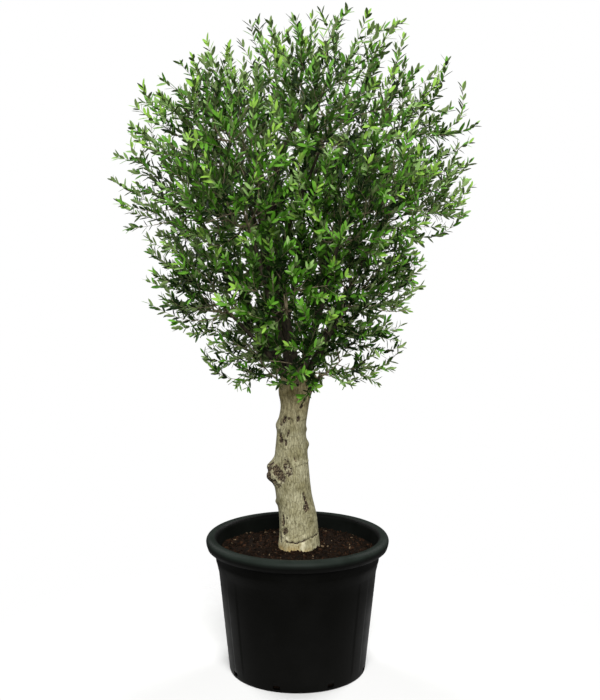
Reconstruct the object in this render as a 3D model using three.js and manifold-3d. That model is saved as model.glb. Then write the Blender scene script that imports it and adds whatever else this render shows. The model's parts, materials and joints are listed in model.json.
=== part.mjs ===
// Olive tree in a plastic nursery pot: an old trunk, pruned back to a knobbly head, with a round crown
// regrown on boughs that fan out from that head. Millimetres, +Z up, the origin in the middle of the
// pot's underside. Every solid keeps a hair of clearance to its neighbours.
import * as THREE from 'three';
import { mergeVertices } from 'three/addons/utils/BufferGeometryUtils.js';
import Module from 'manifold-3d';

const wasm = await Module();
wasm.setup();

// ---- Driving dimensions ----

const CLEARANCE = 0.3;          // gap between a limb, a stem or the soil and what carries it
const SLIVER = 0.02;            // edges and steps under this are smoothed away after cutting and fusing
const SAME_SPOT = 1e-4;         // corners closer than this are one corner
const CELL_GAP = 3;             // how far a mass of foliage keeps from the planes round its own space
const MARCH_STEP = 2;           // step in which the edge of a space is looked for

const POT_HEIGHT = 492;
const POT_FOOT_RADIUS = 244;
const POT_FOOT_CHAMFER = 5;
const POT_WALL = 5;
const POT_FLOOR = 7;
const POT_NECK_RADIUS = 281;    // top of the plain wall, under the collar
const POT_NECK_HEIGHT = 372;
const POT_COLLAR_RADIUS = 291;
const POT_COLLAR_HEIGHT = 408;
const POT_COLLAR_EASE = [4, 14];    // how far in and how far down its curve starts
const POT_RIM_RADIUS = 325;
const POT_RIM_DROP = 42;        // height of the skirt that the rolled rim turns down
const POT_RIM_ROUND = 16;
const POT_ROUND_STEPS = 4;
const POT_LEDGE_HEIGHT = 292;   // a shallow step round the wall
const POT_LEDGE = 1.5;
const POT_SIDES = 36;

const DRAIN_HOLES = 8;
const DRAIN_BEARING = 28;       // degrees, of the first hole
const DRAIN_WIDTH = 26;
const DRAIN_HEIGHT = 16;
const DRAIN_DEPTH = 20;
const DRAIN_SILL = 8.5;         // height of the holes' lower edge

const SOIL_LEVEL = 447;         // ground level, where the trunk is cut flat
const SOIL_SINK = 14;           // how much lower the soil lies at the pot's wall
const SOIL_FLAT = 95;           // radius of the level patch under the trunk
const SOIL_BREAK = [216, 9];    // where its slope eases: radius and depth under the level patch
const SOIL_SIDES = 18;

// The trunk from the soil to its head: height, sideways lean and width.
const TRUNK_STATIONS = [
  [SOIL_LEVEL, 3, 140],
  [555, 1, 134],
  [650, -14, 127],
  [760, -20, 118],
  [870, -19, 102],
  [965, -7, 99],
  [1040, -2, 118],
  [1082, 0, 84],
];
const TRUNK_SIDES = 18;
const TRUNK_RINGS = 24;
const TRUNK_SEEK = 0.005;       // step, as a share of its length, in which a height is looked for on it
const ROOT_FLARE = 0.07;        // widening at the foot, as a share of the radius
const ROOT_FLARE_HEIGHT = 45;
const TRUNK_LOBES = 3;
const LOBE_DEPTH = 0.035;
const LOBE_PITCH = 150;         // height in which the lobes turn by a radian

// Swellings on the trunk: height, bearing in degrees, how proud they stand and how far they spread.
const BURLS = [
  [745, 182, 21, 22],
  [722, 192, 14, 27],
  [700, 186, 22, 22],
  [890, 178, 7, 18],
  [873, 2, 4, 9],
  [820, 2, 9, 16],
  [612, 183, 6, 10],
  [1058, 8, 16, 34],
  [1000, 190, 6, 30],
  [665, 60, 10, 30],
];

// The limbs. All are round and taper evenly from foot to tip.
const BOUGH_SIDES = 6;
const BOUGH_STEPS = 4;
const LEADER_SIDES = 8;
const LEADER_STEPS = 10;
const LEADER_WIDTH = 40;
const LEADER_TIP_WIDTH = 14;
const LEADER_TIER = 'top';      // the tier whose one mass the leader carries at its tip
const BOUGH_SUNK = 24;          // where a bough starts beside the trunk's middle
const BOUGH_TIP_SHARE = 0.5;    // width at the tip as a share of the width at the foot
const BOUGH_LEAVE = [0.55, 0.85];   // how much it leaves its parent outwards and how much upwards
const BOUGH_SWING = 0.35;       // how long it holds its direction at either end, as a share of its span

// The leader: the bough that carries on from the trunk, bending to the left and back.
const LEADER_COURSE = [
  [-2, 0, 1050],
  [-30, 10, 1200],
  [-74, 14, 1360],
  [-100, 4, 1490],
  [-90, -6, 1650],
  [-62, 0, 1810],
  [30, 4, 1985],
];

// The crown's tiers, from the bottom up. Each is a ring of masses: height and radius of the ring of
// their middles, sideways shift of the ring, how many, bearing of the first in degrees, half width and
// half height of a mass, and how much every second one sits lower. Then the boughs that carry them:
// their width, and the height at which they leave the trunk or the stretch of the leader that they
// leave, as shares of its length.
const TIERS = [
  { name: 'skirt', z: 1175, ring: 202, shift: 14, count: 5, bearing: 198, wide: 174, tall: 182,
    drop: 14, boughWidth: 18, onTrunk: 1010 },
  { name: 'lower', z: 1435, ring: 310, shift: -50, count: 6, bearing: 30, wide: 234, tall: 212,
    drop: 22, boughWidth: 22, onTrunk: 1040 },
  { name: 'middle', z: 1755, ring: 382, shift: -8, count: 6, bearing: 0, wide: 280, tall: 250,
    drop: 30, boughWidth: 25, onTrunk: 1062 },
  { name: 'shoulder', z: 1954, ring: 335, shift: 16, count: 5, bearing: 0, wide: 268, tall: 240,
    drop: 16, boughWidth: 18, onLeader: [0.62, 0.34] },
  { name: 'top', z: 2092, ring: 0, shift: 100, count: 1, bearing: 0, wide: 312, tall: 213,
    drop: 0, boughWidth: 16, onLeader: [0.9, 0.9] },
  { name: 'heart', z: 1680, ring: 0, shift: 40, count: 1, bearing: 0, wide: 200, tall: 250,
    drop: 0, boughWidth: 16, onLeader: [0.22, 0.22] },
];

// The growth of one mass.
const CROWN_HEART = new THREE.Vector3(0, 0, 1560);   // where the crown spreads from
const ENDS = 6;                 // twig ends of a mass, besides its stem's
const STREWN_SPOTS = 260;       // spots that are tried for them
const STREW_STEPS = [0.8191725134, 0.6710436067, 0.5497004779];   // powers of the root of x^4 = x + 1
const STEM_SHARE = 0.6;         // length of the stem as a share of the way to the middle
const BUD_STEP = 24;            // how far apart a twig can be forked from
const BUD_TRIES = 6;
const TRAIL_WEIGHT = 0.3;       // how much a long way back to the limb counts against a fork
const TWIG_TIP_RADIUS = 5;
const TWIG_SIDES = 3;
const TWIG_THICKENING = 0.5;    // a twig that carries n ends is n to this power as thick

// A leaf stands for a leafy shoot tip, so it is larger than life.
const LEAF_LENGTH = 160;
const LEAF_WIDTH = 58;
const LEAF_THICKNESS = 7;
const LEAF_WIDEST = 0.38;       // where it is widest, as a share of its length
const LEAF_SINK = 5;            // how far its root is sunk in the twig
const LEAF_SPREAD = 52;         // degrees between a side leaf and its twig
const LEAF_OUTWARD = 0.8;       // how much a leaf at the end of a twig turns outwards
const LEAF_GAP = 0.5;           // room between leaves, so that only roots are fused
const SIDE_STEP = 26;           // how far apart the side leaves grow, from the end back
const END_ROOM = 32;            // least distance from a twig's end to the edge of the space
const END_SPACING = 76;         // least distance between two twigs' ends
const LIMB_ROOM = 4;            // room that leaves and twigs leave round a limb

// ---- Materials ----

const pottedPlastic = new THREE.MeshStandardMaterial({ color: '#151614', roughness: 0.55, metalness: 0 });
const pottingSoil = new THREE.MeshStandardMaterial({ color: '#2c2018', roughness: 1, metalness: 0 });
const oldBark = new THREE.MeshStandardMaterial({ color: '#8c886a', roughness: 0.9, metalness: 0 });
const youngBark = new THREE.MeshStandardMaterial({ color: '#77715a', roughness: 0.85, metalness: 0 });
const oliveLeaf = new THREE.MeshStandardMaterial({ color: '#50643b', roughness: 0.6, metalness: 0 });

// ---- Helpers ----

const DICE_SPREAD = 7919;
const DICE_FACTOR = 48271;
const DICE_RANGE = 2147483647;
const UP = new THREE.Vector3(0, 0, 1);

/** A repeatable run of numbers from 0 to 1. */
function dice(seed) {
  let state = seed * DICE_SPREAD + 1;
  return () => {
    state = (state * DICE_FACTOR) % DICE_RANGE;
    return state / DICE_RANGE;
  };
}

/** A level direction at a bearing in degrees: 0 is +X and 90 is +Y. */
function heading(degrees) {
  const turn = THREE.MathUtils.degToRad(degrees);
  return new THREE.Vector3(Math.cos(turn), Math.sin(turn), 0);
}

/** The solid that a closed geometry bounds. */
function solidOf(geometry) {
  geometry.deleteAttribute('normal');
  geometry.deleteAttribute('uv');
  const merged = mergeVertices(geometry, SAME_SPOT);
  const corners = merged.index.array;
  const triVerts = [];
  for (let i = 0; i < corners.length; i += 3) {
    const [a, b, c] = [corners[i], corners[i + 1], corners[i + 2]];
    if (a !== b && b !== c && c !== a) triVerts.push(a, b, c);
  }
  const mesh = new wasm.Mesh({
    numProp: 3,
    vertProperties: new Float32Array(merged.attributes.position.array),
    triVerts: new Uint32Array(triVerts),
  });
  return new wasm.Manifold(mesh);
}

/** The one main body of a solid, without loose scraps or sealed hollows. */
function mainBody(solid) {
  const bodies = solid.decompose();
  bodies.sort((one, other) => other.volume() - one.volume());
  return bodies[0];
}

/** A solid without the slivers that cutting and fusing leave. */
function cleaned(solid) {
  return solid.asOriginal().simplify(SLIVER);
}

/** A named mesh of a solid. */
function meshOf(name, solid, material) {
  const { vertProperties, triVerts } = solid.getMesh();
  const geometry = new THREE.BufferGeometry();
  geometry.setAttribute('position', new THREE.BufferAttribute(new Float32Array(vertProperties), 3));
  geometry.setIndex(new THREE.BufferAttribute(new Uint32Array(triVerts), 1));
  geometry.computeVertexNormals();
  const mesh = new THREE.Mesh(geometry, material);
  mesh.name = name;
  return mesh;
}

/** A turned solid from a profile of [radius, height] that starts and ends on the axis. */
function turned(profile, sides) {
  const geometry = new THREE.LatheGeometry(profile.map(([r, z]) => new THREE.Vector2(r, z)), sides);
  geometry.rotateX(Math.PI / 2);
  return solidOf(geometry);
}

/** Points of a quarter round, from one bearing to another, round a centre in a profile. */
function quarterRound(centreR, centreZ, radius, fromDegrees, toDegrees) {
  const points = [];
  for (let i = 0; i <= POT_ROUND_STEPS; i += 1) {
    const turn = THREE.MathUtils.degToRad(THREE.MathUtils.lerp(fromDegrees, toDegrees, i / POT_ROUND_STEPS));
    points.push([centreR + radius * Math.cos(turn), centreZ + radius * Math.sin(turn)]);
  }
  return points;
}

// ---- Pot and soil ----

/** Radius of the pot's outer wall at a height below the collar. */
function wallRadius(height) {
  return POT_FOOT_RADIUS + ((POT_NECK_RADIUS - POT_FOOT_RADIUS) * height) / POT_NECK_HEIGHT;
}

/** One thin shell: flat floor, flaring wall, collar, and a rim rolled out and turned down. */
function potShell() {
  const skirtInside = POT_RIM_RADIUS - POT_WALL;
  const rimUnder = POT_HEIGHT - POT_WALL;
  const innerCollar = POT_COLLAR_RADIUS - POT_WALL;
  const roundHeight = POT_HEIGHT - POT_RIM_ROUND;
  const [easeIn, easeDown] = POT_COLLAR_EASE;
  const bead = POT_WALL / 2;
  const beadHeight = POT_HEIGHT - POT_RIM_DROP + bead;
  return turned([
    [0, 0],
    [POT_FOOT_RADIUS - POT_FOOT_CHAMFER, 0],
    [wallRadius(POT_FOOT_CHAMFER), POT_FOOT_CHAMFER],
    [wallRadius(POT_LEDGE_HEIGHT), POT_LEDGE_HEIGHT],
    [wallRadius(POT_LEDGE_HEIGHT) + POT_LEDGE, POT_LEDGE_HEIGHT + POT_LEDGE],
    [POT_NECK_RADIUS, POT_NECK_HEIGHT],
    [POT_COLLAR_RADIUS - easeIn, POT_COLLAR_HEIGHT - easeDown],
    [POT_COLLAR_RADIUS, POT_COLLAR_HEIGHT],
    [POT_COLLAR_RADIUS, roundHeight + POT_WALL],
    [innerCollar + POT_RIM_ROUND, rimUnder],
    [POT_RIM_RADIUS - POT_RIM_ROUND, rimUnder],
    [skirtInside, roundHeight],
    [skirtInside, beadHeight],
    [skirtInside + bead, beadHeight - bead],
    [POT_RIM_RADIUS, beadHeight],
    ...quarterRound(POT_RIM_RADIUS - POT_RIM_ROUND, roundHeight, POT_RIM_ROUND, 0, 90),
    ...quarterRound(innerCollar + POT_RIM_ROUND, roundHeight, POT_RIM_ROUND, 90, 180),
    [innerCollar, POT_COLLAR_HEIGHT],
    [POT_NECK_RADIUS - POT_WALL, POT_NECK_HEIGHT],
    [wallRadius(POT_FLOOR) - POT_WALL, POT_FLOOR],
    [0, POT_FLOOR],
  ], POT_SIDES);
}

/** The pot with its drain notches, which open through the foot of the wall. */
function pot() {
  let shell = potShell();
  for (let i = 0; i < DRAIN_HOLES; i += 1) {
    const bearing = DRAIN_BEARING + (360 * i) / DRAIN_HOLES;
    const notch = new THREE.BoxGeometry(DRAIN_DEPTH, DRAIN_WIDTH, DRAIN_HEIGHT);
    notch.translate(POT_FOOT_RADIUS, 0, DRAIN_SILL + DRAIN_HEIGHT / 2);
    notch.rotateZ(THREE.MathUtils.degToRad(bearing));
    shell = shell.subtract(solidOf(notch));
  }
  return meshOf('pot', cleaned(shell), pottedPlastic);
}

/** The soil that fills the pot, level under the trunk and lower at the wall. */
function soil() {
  const [breakRadius, breakDrop] = SOIL_BREAK;
  const edge = SOIL_LEVEL - SOIL_SINK;
  const gap = POT_WALL + CLEARANCE;
  const solid = turned([
    [0, POT_FLOOR + CLEARANCE],
    [wallRadius(POT_FLOOR) - gap, POT_FLOOR + CLEARANCE],
    [POT_NECK_RADIUS - gap, POT_NECK_HEIGHT],
    [POT_COLLAR_RADIUS - gap, POT_COLLAR_HEIGHT],
    [POT_COLLAR_RADIUS - gap, edge],
    [breakRadius, SOIL_LEVEL - breakDrop],
    [SOIL_FLAT, SOIL_LEVEL - CLEARANCE],
    [0, SOIL_LEVEL - CLEARANCE],
  ], SOIL_SIDES);
  return meshOf('soil', solid, pottingSoil);
}

// ---- Trunk ----

const trunkCourse = new THREE.CatmullRomCurve3(
  TRUNK_STATIONS.map(([height, lean, width]) => new THREE.Vector3(lean, width, height)),
  false,
  'catmullrom',
);

/** Where the trunk's middle is at a share of its length, with its plain radius. */
function trunkAt(share) {
  const { x: lean, y: width, z: height } = trunkCourse.getPoint(share);
  return { middle: new THREE.Vector3(lean, 0, height), radius: width / 2 };
}

/** The middle of the trunk at a height. */
function trunkMiddle(height) {
  let share = 0;
  while (share < 1 && trunkAt(share).middle.z < height) share += TRUNK_SEEK;
  return trunkAt(share).middle;
}

/** Radius of the trunk's skin with its flare, lobes and burls. */
function barkRadius(plainRadius, height, bearing) {
  const above = height - SOIL_LEVEL;
  const flare = ROOT_FLARE * Math.exp(-above / ROOT_FLARE_HEIGHT);
  const lobes = LOBE_DEPTH * Math.cos(TRUNK_LOBES * bearing + above / LOBE_PITCH);
  let radius = plainRadius * (1 + flare + lobes);
  for (const [burlHeight, burlBearing, proud, spread] of BURLS) {
    const off = bearing - THREE.MathUtils.degToRad(burlBearing);
    const around = plainRadius * Math.atan2(Math.sin(off), Math.cos(off));
    const away = Math.hypot(height - burlHeight, around);
    radius += proud * Math.exp(-((away / spread) ** 2));
  }
  return radius;
}

/** The trunk's solid, grown outwards by a margin, with level rings from its flat cut to its head. */
function trunkSolid(margin) {
  const geometry = new THREE.CylinderGeometry(1, 1, 1, TRUNK_SIDES, TRUNK_RINGS);
  geometry.rotateX(Math.PI / 2);
  const spots = geometry.attributes.position;
  for (let i = 0; i < spots.count; i += 1) {
    const share = spots.getZ(i) + 0.5;
    const { middle, radius } = trunkAt(share);
    const reach = Math.hypot(spots.getX(i), spots.getY(i));
    const bearing = Math.atan2(spots.getY(i), spots.getX(i));
    const skin = reach * (barkRadius(radius, middle.z, bearing) + margin);
    const height = middle.z + THREE.MathUtils.lerp(-margin, margin, share);
    spots.setXYZ(i, middle.x + skin * Math.cos(bearing), skin * Math.sin(bearing), height);
  }
  return solidOf(geometry);
}

// ---- Masses of foliage: where each has its space ----

/** The middles and reaches of all masses, tier by tier. */
function layOutMasses() {
  const masses = [];
  for (const tier of TIERS) {
    for (let i = 0; i < tier.count; i += 1) {
      const out = heading(tier.bearing + (360 * i) / tier.count);
      const middle = out.clone().multiplyScalar(tier.ring);
      middle.x += tier.shift;
      middle.z = tier.z - (i % 2) * tier.drop;
      masses.push({ tier, number: i + 1, middle, out, seed: masses.length + 1 });
    }
  }
  return masses;
}

/** How deep a point lies inside the space of a mass: its own ellipsoid, up to the planes that part it
 *  from the others. Under zero is outside. */
function depthInside(mass, point) {
  const { wide, tall } = mass.tier;
  const own = point.clone().sub(mass.middle);
  const shell = Math.hypot(own.x / wide, own.y / wide, own.z / tall);
  let depth = (1 - shell) * Math.min(wide, tall);
  for (const other of masses) {
    if (other === mass) continue;
    const apart = mass.middle.distanceTo(other.middle);
    const lead = point.distanceToSquared(other.middle) - (other.tier.wide * other.tier.tall)
      - own.lengthSq() + wide * tall;
    depth = Math.min(depth, lead / (2 * apart) - CELL_GAP);
  }
  return depth;
}

const masses = layOutMasses();

/** The place where a limb coming from a point enters the space of a mass. */
function doorOf(mass, from) {
  const way = mass.middle.clone().sub(from);
  const length = way.length();
  way.divideScalar(length);
  let along = 0;
  while (along < length && depthInside(mass, from.clone().addScaledVector(way, along)) < 0) {
    along += MARCH_STEP;
  }
  return from.clone().addScaledVector(way, along);
}

// ---- Boughs ----

const leaderCourse = new THREE.CatmullRomCurve3(
  LEADER_COURSE.map((spot) => new THREE.Vector3(...spot)),
  false,
  'catmullrom',
);

/** A tapering limb along a course, grown outwards by a margin. */
function limbSolid(limb, margin) {
  const { course, footRadius, tipRadius, sides, steps } = limb;
  const frames = course.computeFrenetFrames(steps, false);
  const geometry = new THREE.CylinderGeometry(1, 1, 1, sides, steps);
  const spots = geometry.attributes.position;
  for (let i = 0; i < spots.count; i += 1) {
    const share = spots.getY(i) + 0.5;
    const ring = Math.round(share * steps);
    const radius = footRadius + (tipRadius - footRadius) * share + margin;
    const spot = course.getPointAt(share);
    spot.addScaledVector(frames.normals[ring], spots.getZ(i) * radius);
    spot.addScaledVector(frames.binormals[ring], spots.getX(i) * radius);
    spots.setXYZ(i, spot.x, spot.y, spot.z);
  }
  return solidOf(geometry);
}

/** The course of a bough: it leaves its parent steeply and swings out to the door of its mass. */
function boughCourse(from, door, mass) {
  const span = from.distanceTo(door);
  const away = door.clone().sub(from).setZ(0).normalize();
  const [outwards, upwards] = BOUGH_LEAVE;
  const leave = away.multiplyScalar(outwards).addScaledVector(UP, upwards).normalize();
  const enter = mass.middle.clone().sub(door).normalize();
  const first = from.clone().addScaledVector(leave, span * BOUGH_SWING);
  const second = door.clone().addScaledVector(enter, -span * BOUGH_SWING);
  return new THREE.CubicBezierCurve3(from, first, second, door);
}

/** The leader, and one bough for every mass that the leader doesn't carry at its own tip. */
function layOutLimbs() {
  const leaderMass = masses.find(({ tier }) => tier.name === LEADER_TIER);
  const leaderDoor = doorOf(leaderMass, leaderCourse.getPoint(1));
  leaderCourse.points[leaderCourse.points.length - 1].copy(leaderDoor);
  const leader = {
    name: 'leader',
    course: leaderCourse,
    footRadius: LEADER_WIDTH / 2,
    tipRadius: LEADER_TIP_WIDTH / 2,
    sides: LEADER_SIDES,
    steps: LEADER_STEPS,
    mass: leaderMass,
  };
  const limbs = [leader];
  for (const mass of masses) {
    if (mass === leaderMass) continue;
    const { tier, number, out } = mass;
    const from = tier.onLeader
      ? leaderCourse.getPointAt(THREE.MathUtils.lerp(...tier.onLeader, (number - 1) / tier.count))
      : trunkMiddle(tier.onTrunk).addScaledVector(out, BOUGH_SUNK);
    limbs.push({
      name: `bough_${tier.name}_${number}`,
      course: boughCourse(from, doorOf(mass, from), mass),
      footRadius: tier.boughWidth / 2,
      tipRadius: (tier.boughWidth / 2) * BOUGH_TIP_SHARE,
      sides: BOUGH_SIDES,
      steps: BOUGH_STEPS,
      mass,
    });
  }
  return limbs;
}

const limbs = layOutLimbs();
const limbWood = limbs.map((limb) => limbSolid(limb, 0));
const trunkWood = trunkSolid(0);

/** The mesh of one limb, cut clear of the trunk and of the limbs that come before it. */
function limbMesh(index) {
  let solid = limbWood[index].subtract(trunkSolid(CLEARANCE));
  for (const other of limbs.slice(0, index)) solid = solid.subtract(limbSolid(other, CLEARANCE));
  return meshOf(limbs[index].name, cleaned(mainBody(solid)), youngBark);
}

// ---- Twigs and leaves ----

/** Whether a solid keeps a distance to each of some others. */
function keepsClear(solid, others, room) {
  return others.every((other) => solid.minGap(other, room) >= room);
}

/** Whether a twig or leaf keeps clear of the trunk and of every limb. */
function clearOfLimbs(solid) {
  return keepsClear(solid, [trunkWood, ...limbWood], LIMB_ROOM);
}

/** Spots strewn evenly through the space of a mass, with room round them for leaves. */
function strewnSpots(mass) {
  const { wide, tall } = mass.tier;
  const spots = [];
  for (let i = 1; i <= STREWN_SPOTS; i += 1) {
    const [down, round, out] = STREW_STEPS.map((step) => (i * step) % 1);
    const rise = 1 - 2 * down;
    const turn = 2 * Math.PI * round;
    const reach = Math.cbrt(out);
    const level = Math.sqrt(1 - rise * rise) * reach * wide;
    const spot = new THREE.Vector3(level * Math.cos(turn), level * Math.sin(turn), rise * reach * tall);
    spot.add(mass.middle);
    if (depthInside(mass, spot) > END_ROOM) spots.push(spot);
  }
  return spots;
}

/** Where the twigs of a mass end: first under its outermost tip, then each time at the spot that is
 *  farthest from the ends so far. */
function twigEnds(mass) {
  const outwards = mass.middle.clone().sub(CROWN_HEART).normalize();
  const outmost = mass.middle.clone();
  while (depthInside(mass, outmost) > MARCH_STEP) outmost.addScaledVector(outwards, MARCH_STEP);
  const ends = [outmost.addScaledVector(outwards, LEAF_SINK - LEAF_LENGTH)];
  const spots = strewnSpots(mass);
  const room = spots.map((spot) => spot.distanceTo(ends[0]));
  while (ends.length < ENDS) {
    const widest = room.indexOf(Math.max(...room));
    if (room[widest] < END_SPACING) break;
    ends.push(spots[widest]);
    spots.forEach((spot, i) => {
      room[i] = Math.min(room[i], spot.distanceTo(spots[widest]));
    });
  }
  return ends;
}

/** Adds a twig to a mass, with the buds along it that later twigs can fork from. */
function addTwig(twigs, buds, from, to, parent, trail) {
  const twig = { from, to, parent, carries: 0 };
  const length = from.distanceTo(to);
  for (let along = BUD_STEP; along <= length; along += BUD_STEP) {
    buds.push({ twig, at: from.clone().lerp(to, along / length), trail: trail + along });
  }
  for (let below = twig; below; below = below.parent) below.carries += 1;
  twigs.push(twig);
}

/** The twigs of a mass: a stem, then one twig to each end, nearest first. Each forks from the free bud
 *  from which its own way is short and the way back to the limb isn't long. */
function growTwigs(mass, course) {
  const door = course.getPointAt(1);
  const inward = course.getTangentAt(1);
  const root = door.clone().addScaledVector(inward, CLEARANCE);
  const stemLength = STEM_SHARE * mass.middle.distanceTo(door);
  const twigs = [];
  const buds = [];
  addTwig(twigs, buds, root, root.clone().addScaledVector(inward, stemLength), null, 0);
  const ends = twigEnds(mass);
  ends.sort((one, other) => one.distanceTo(root) - other.distanceTo(root));
  for (const end of ends) {
    const cost = (bud) => bud.at.distanceTo(end) + TRAIL_WEIGHT * bud.trail;
    buds.sort((one, other) => cost(one) - cost(other));
    const reached = buds.slice(0, BUD_TRIES).find(({ at }) => clearOfLimbs(twigSolid(at, end, 1)));
    if (!reached) continue;
    buds.splice(buds.indexOf(reached), 1);
    addTwig(twigs, buds, reached.at, end, reached.twig, reached.trail);
  }
  return twigs;
}

/** The turn that stands a twig's solid, built along +Y, on its course. */
function twigTurn(from, to) {
  const way = to.clone().sub(from).normalize();
  return new THREE.Quaternion().setFromUnitVectors(new THREE.Vector3(0, 1, 0), way);
}

/** A twig's three-sided solid, tapering from its fork to its end. */
function twigSolid(from, to, carries) {
  const length = from.distanceTo(to);
  const foot = TWIG_TIP_RADIUS * carries ** TWIG_THICKENING;
  const geometry = new THREE.CylinderGeometry(TWIG_TIP_RADIUS, foot, length, TWIG_SIDES);
  geometry.translate(0, length / 2, 0);
  geometry.applyQuaternion(twigTurn(from, to));
  geometry.translate(from.x, from.y, from.z);
  return solidOf(geometry);
}

/** The direction that one flat side of a twig faces. */
function twigSide({ from, to }, number) {
  const turn = (Math.PI * (2 * number + 1)) / TWIG_SIDES;
  return new THREE.Vector3(Math.sin(turn), 0, Math.cos(turn)).applyQuaternion(twigTurn(from, to));
}

/** A leaf of eight faces that grows from a root point: widest nearer its root, ridged on both sides. */
function leafSolid(root, way, face) {
  const across = new THREE.Vector3().crossVectors(way, face).normalize();
  const normal = new THREE.Vector3().crossVectors(across, way);
  const geometry = new THREE.OctahedronGeometry(1);
  const spots = geometry.attributes.position;
  for (let i = 0; i < spots.count; i += 1) {
    const share = spots.getY(i) > 0 ? 1 - LEAF_WIDEST : LEAF_WIDEST;
    spots.setXYZ(
      i,
      (spots.getX(i) * LEAF_WIDTH) / 2,
      (spots.getY(i) * share + LEAF_WIDEST) * LEAF_LENGTH - LEAF_SINK,
      (spots.getZ(i) * LEAF_THICKNESS) / 2,
    );
  }
  const place = new THREE.Matrix4().makeBasis(across, way, normal).setPosition(root);
  return solidOf(geometry.applyMatrix4(place));
}

/** Whether a leaf keeps to the space of its mass and clear of limbs, other twigs and other leaves. */
function leafFits(mass, leaf, others) {
  const { vertProperties } = leaf.getMesh();
  for (let i = 0; i < vertProperties.length; i += 3) {
    const corner = new THREE.Vector3(...vertProperties.slice(i, i + 3));
    if (depthInside(mass, corner) < 0) return false;
  }
  return clearOfLimbs(leaf) && keepsClear(leaf, others, LEAF_GAP);
}

/** A leaf in the first of some places in which it fits, if any. A place is its root, way and face. */
function fittingLeaf(mass, places, others) {
  for (const { root, way, face } of places) {
    const leaf = leafSolid(root, way, face);
    if (leafFits(mass, leaf, others)) return [leaf];
  }
  return [];
}

/** The leaves of one twig: one that carries it on, and side leaves that leave its flat sides. */
function leavesOf(mass, twig, others, firstSide) {
  const along = twig.to.clone().sub(twig.from).normalize();
  const outwards = twig.to.clone().sub(CROWN_HEART).normalize();
  const sides = [0, 1, 2].map((number) => twigSide(twig, (firstSide + number) % TWIG_SIDES));
  const ahead = along.clone().addScaledVector(outwards, LEAF_OUTWARD).normalize();
  const endWays = [outwards, ahead, along];
  const endPlaces = endWays.flatMap((way) => sides.map((face) => ({ root: twig.to, way, face })));
  const leaves = fittingLeaf(mass, endPlaces, others);
  const spread = THREE.MathUtils.degToRad(LEAF_SPREAD);
  for (let back = SIDE_STEP; back < twig.from.distanceTo(twig.to); back += SIDE_STEP) {
    const root = twig.to.clone().addScaledVector(along, -back);
    sides.push(sides.shift());
    const sidePlaces = sides.map((side) => ({
      root,
      way: along.clone().multiplyScalar(Math.cos(spread)).addScaledVector(side, Math.sin(spread)),
      face: side.clone().cross(along),
    }));
    leaves.push(...fittingLeaf(mass, sidePlaces, [...others, ...leaves]));
  }
  return leaves;
}

/** One mass of foliage: its twigs and leaves, fused. */
function foliageMesh({ mass, course }) {
  const random = dice(mass.seed);
  const twigs = growTwigs(mass, course);
  const wood = twigs.map(({ from, to, carries }) => twigSolid(from, to, carries));
  const leaves = [];
  for (const twig of twigs) {
    const others = wood.filter((solid, i) => twigs[i] !== twig);
    const firstSide = Math.floor(random() * TWIG_SIDES);
    leaves.push(...leavesOf(mass, twig, [...others, ...leaves], firstSide));
  }
  const fused = mainBody(wasm.Manifold.union([...wood, ...leaves]));
  return meshOf(`foliage_${mass.tier.name}_${mass.number}`, cleaned(fused), oliveLeaf);
}

// ---- The tree in its pot ----

const tree = new THREE.Group();
tree.add(pot());
tree.add(soil());
tree.add(meshOf('trunk', trunkWood, oldBark));
limbs.forEach((limb, i) => {
  tree.add(limbMesh(i));
  tree.add(foliageMesh(limb));
});

export default tree;
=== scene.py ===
"""An old olive tree in a black nursery pot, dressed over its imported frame.

The trunk, limbs, pot and soil are modelled anew with their relief. Every mass of foliage is grown
again from its limb by the rule of the part's own source, carried on to finer twigs, and each shoot
carries its leaves in opposite pairs. Growth is worked out in millimetres and turned to metres at the
end; +Z is up and the origin is in the middle of the pot's underside.
"""

import json
import math
from types import SimpleNamespace

import bmesh
import bpy
import numpy as np
from numpy.linalg import norm
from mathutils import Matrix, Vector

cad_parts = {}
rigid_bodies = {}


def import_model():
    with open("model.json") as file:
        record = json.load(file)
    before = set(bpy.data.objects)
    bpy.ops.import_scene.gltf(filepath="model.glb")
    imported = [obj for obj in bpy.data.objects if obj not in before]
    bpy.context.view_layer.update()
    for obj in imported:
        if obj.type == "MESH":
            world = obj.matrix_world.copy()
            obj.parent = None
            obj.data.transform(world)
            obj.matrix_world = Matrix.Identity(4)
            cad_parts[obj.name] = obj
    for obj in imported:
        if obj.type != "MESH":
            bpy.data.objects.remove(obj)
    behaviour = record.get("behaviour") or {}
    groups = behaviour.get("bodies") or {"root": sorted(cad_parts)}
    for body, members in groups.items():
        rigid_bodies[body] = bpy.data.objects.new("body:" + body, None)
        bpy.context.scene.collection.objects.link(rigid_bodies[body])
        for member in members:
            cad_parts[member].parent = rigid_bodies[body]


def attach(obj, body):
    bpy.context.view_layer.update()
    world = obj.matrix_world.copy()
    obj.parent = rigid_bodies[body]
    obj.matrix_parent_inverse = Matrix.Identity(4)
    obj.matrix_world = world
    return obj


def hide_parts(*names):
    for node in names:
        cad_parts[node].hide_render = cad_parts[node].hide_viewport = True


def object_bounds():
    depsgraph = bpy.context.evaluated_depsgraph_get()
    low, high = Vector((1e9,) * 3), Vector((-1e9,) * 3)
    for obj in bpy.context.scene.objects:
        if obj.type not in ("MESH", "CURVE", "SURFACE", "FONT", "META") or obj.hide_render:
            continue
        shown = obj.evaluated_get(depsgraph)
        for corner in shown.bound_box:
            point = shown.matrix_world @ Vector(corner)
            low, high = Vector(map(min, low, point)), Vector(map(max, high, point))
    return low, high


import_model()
CAD_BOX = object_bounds()
SCENE = bpy.context.scene
MM = 0.001
BOX = np.array([list(corner) for corner in CAD_BOX]) / MM

# ---- Camera ----

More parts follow.
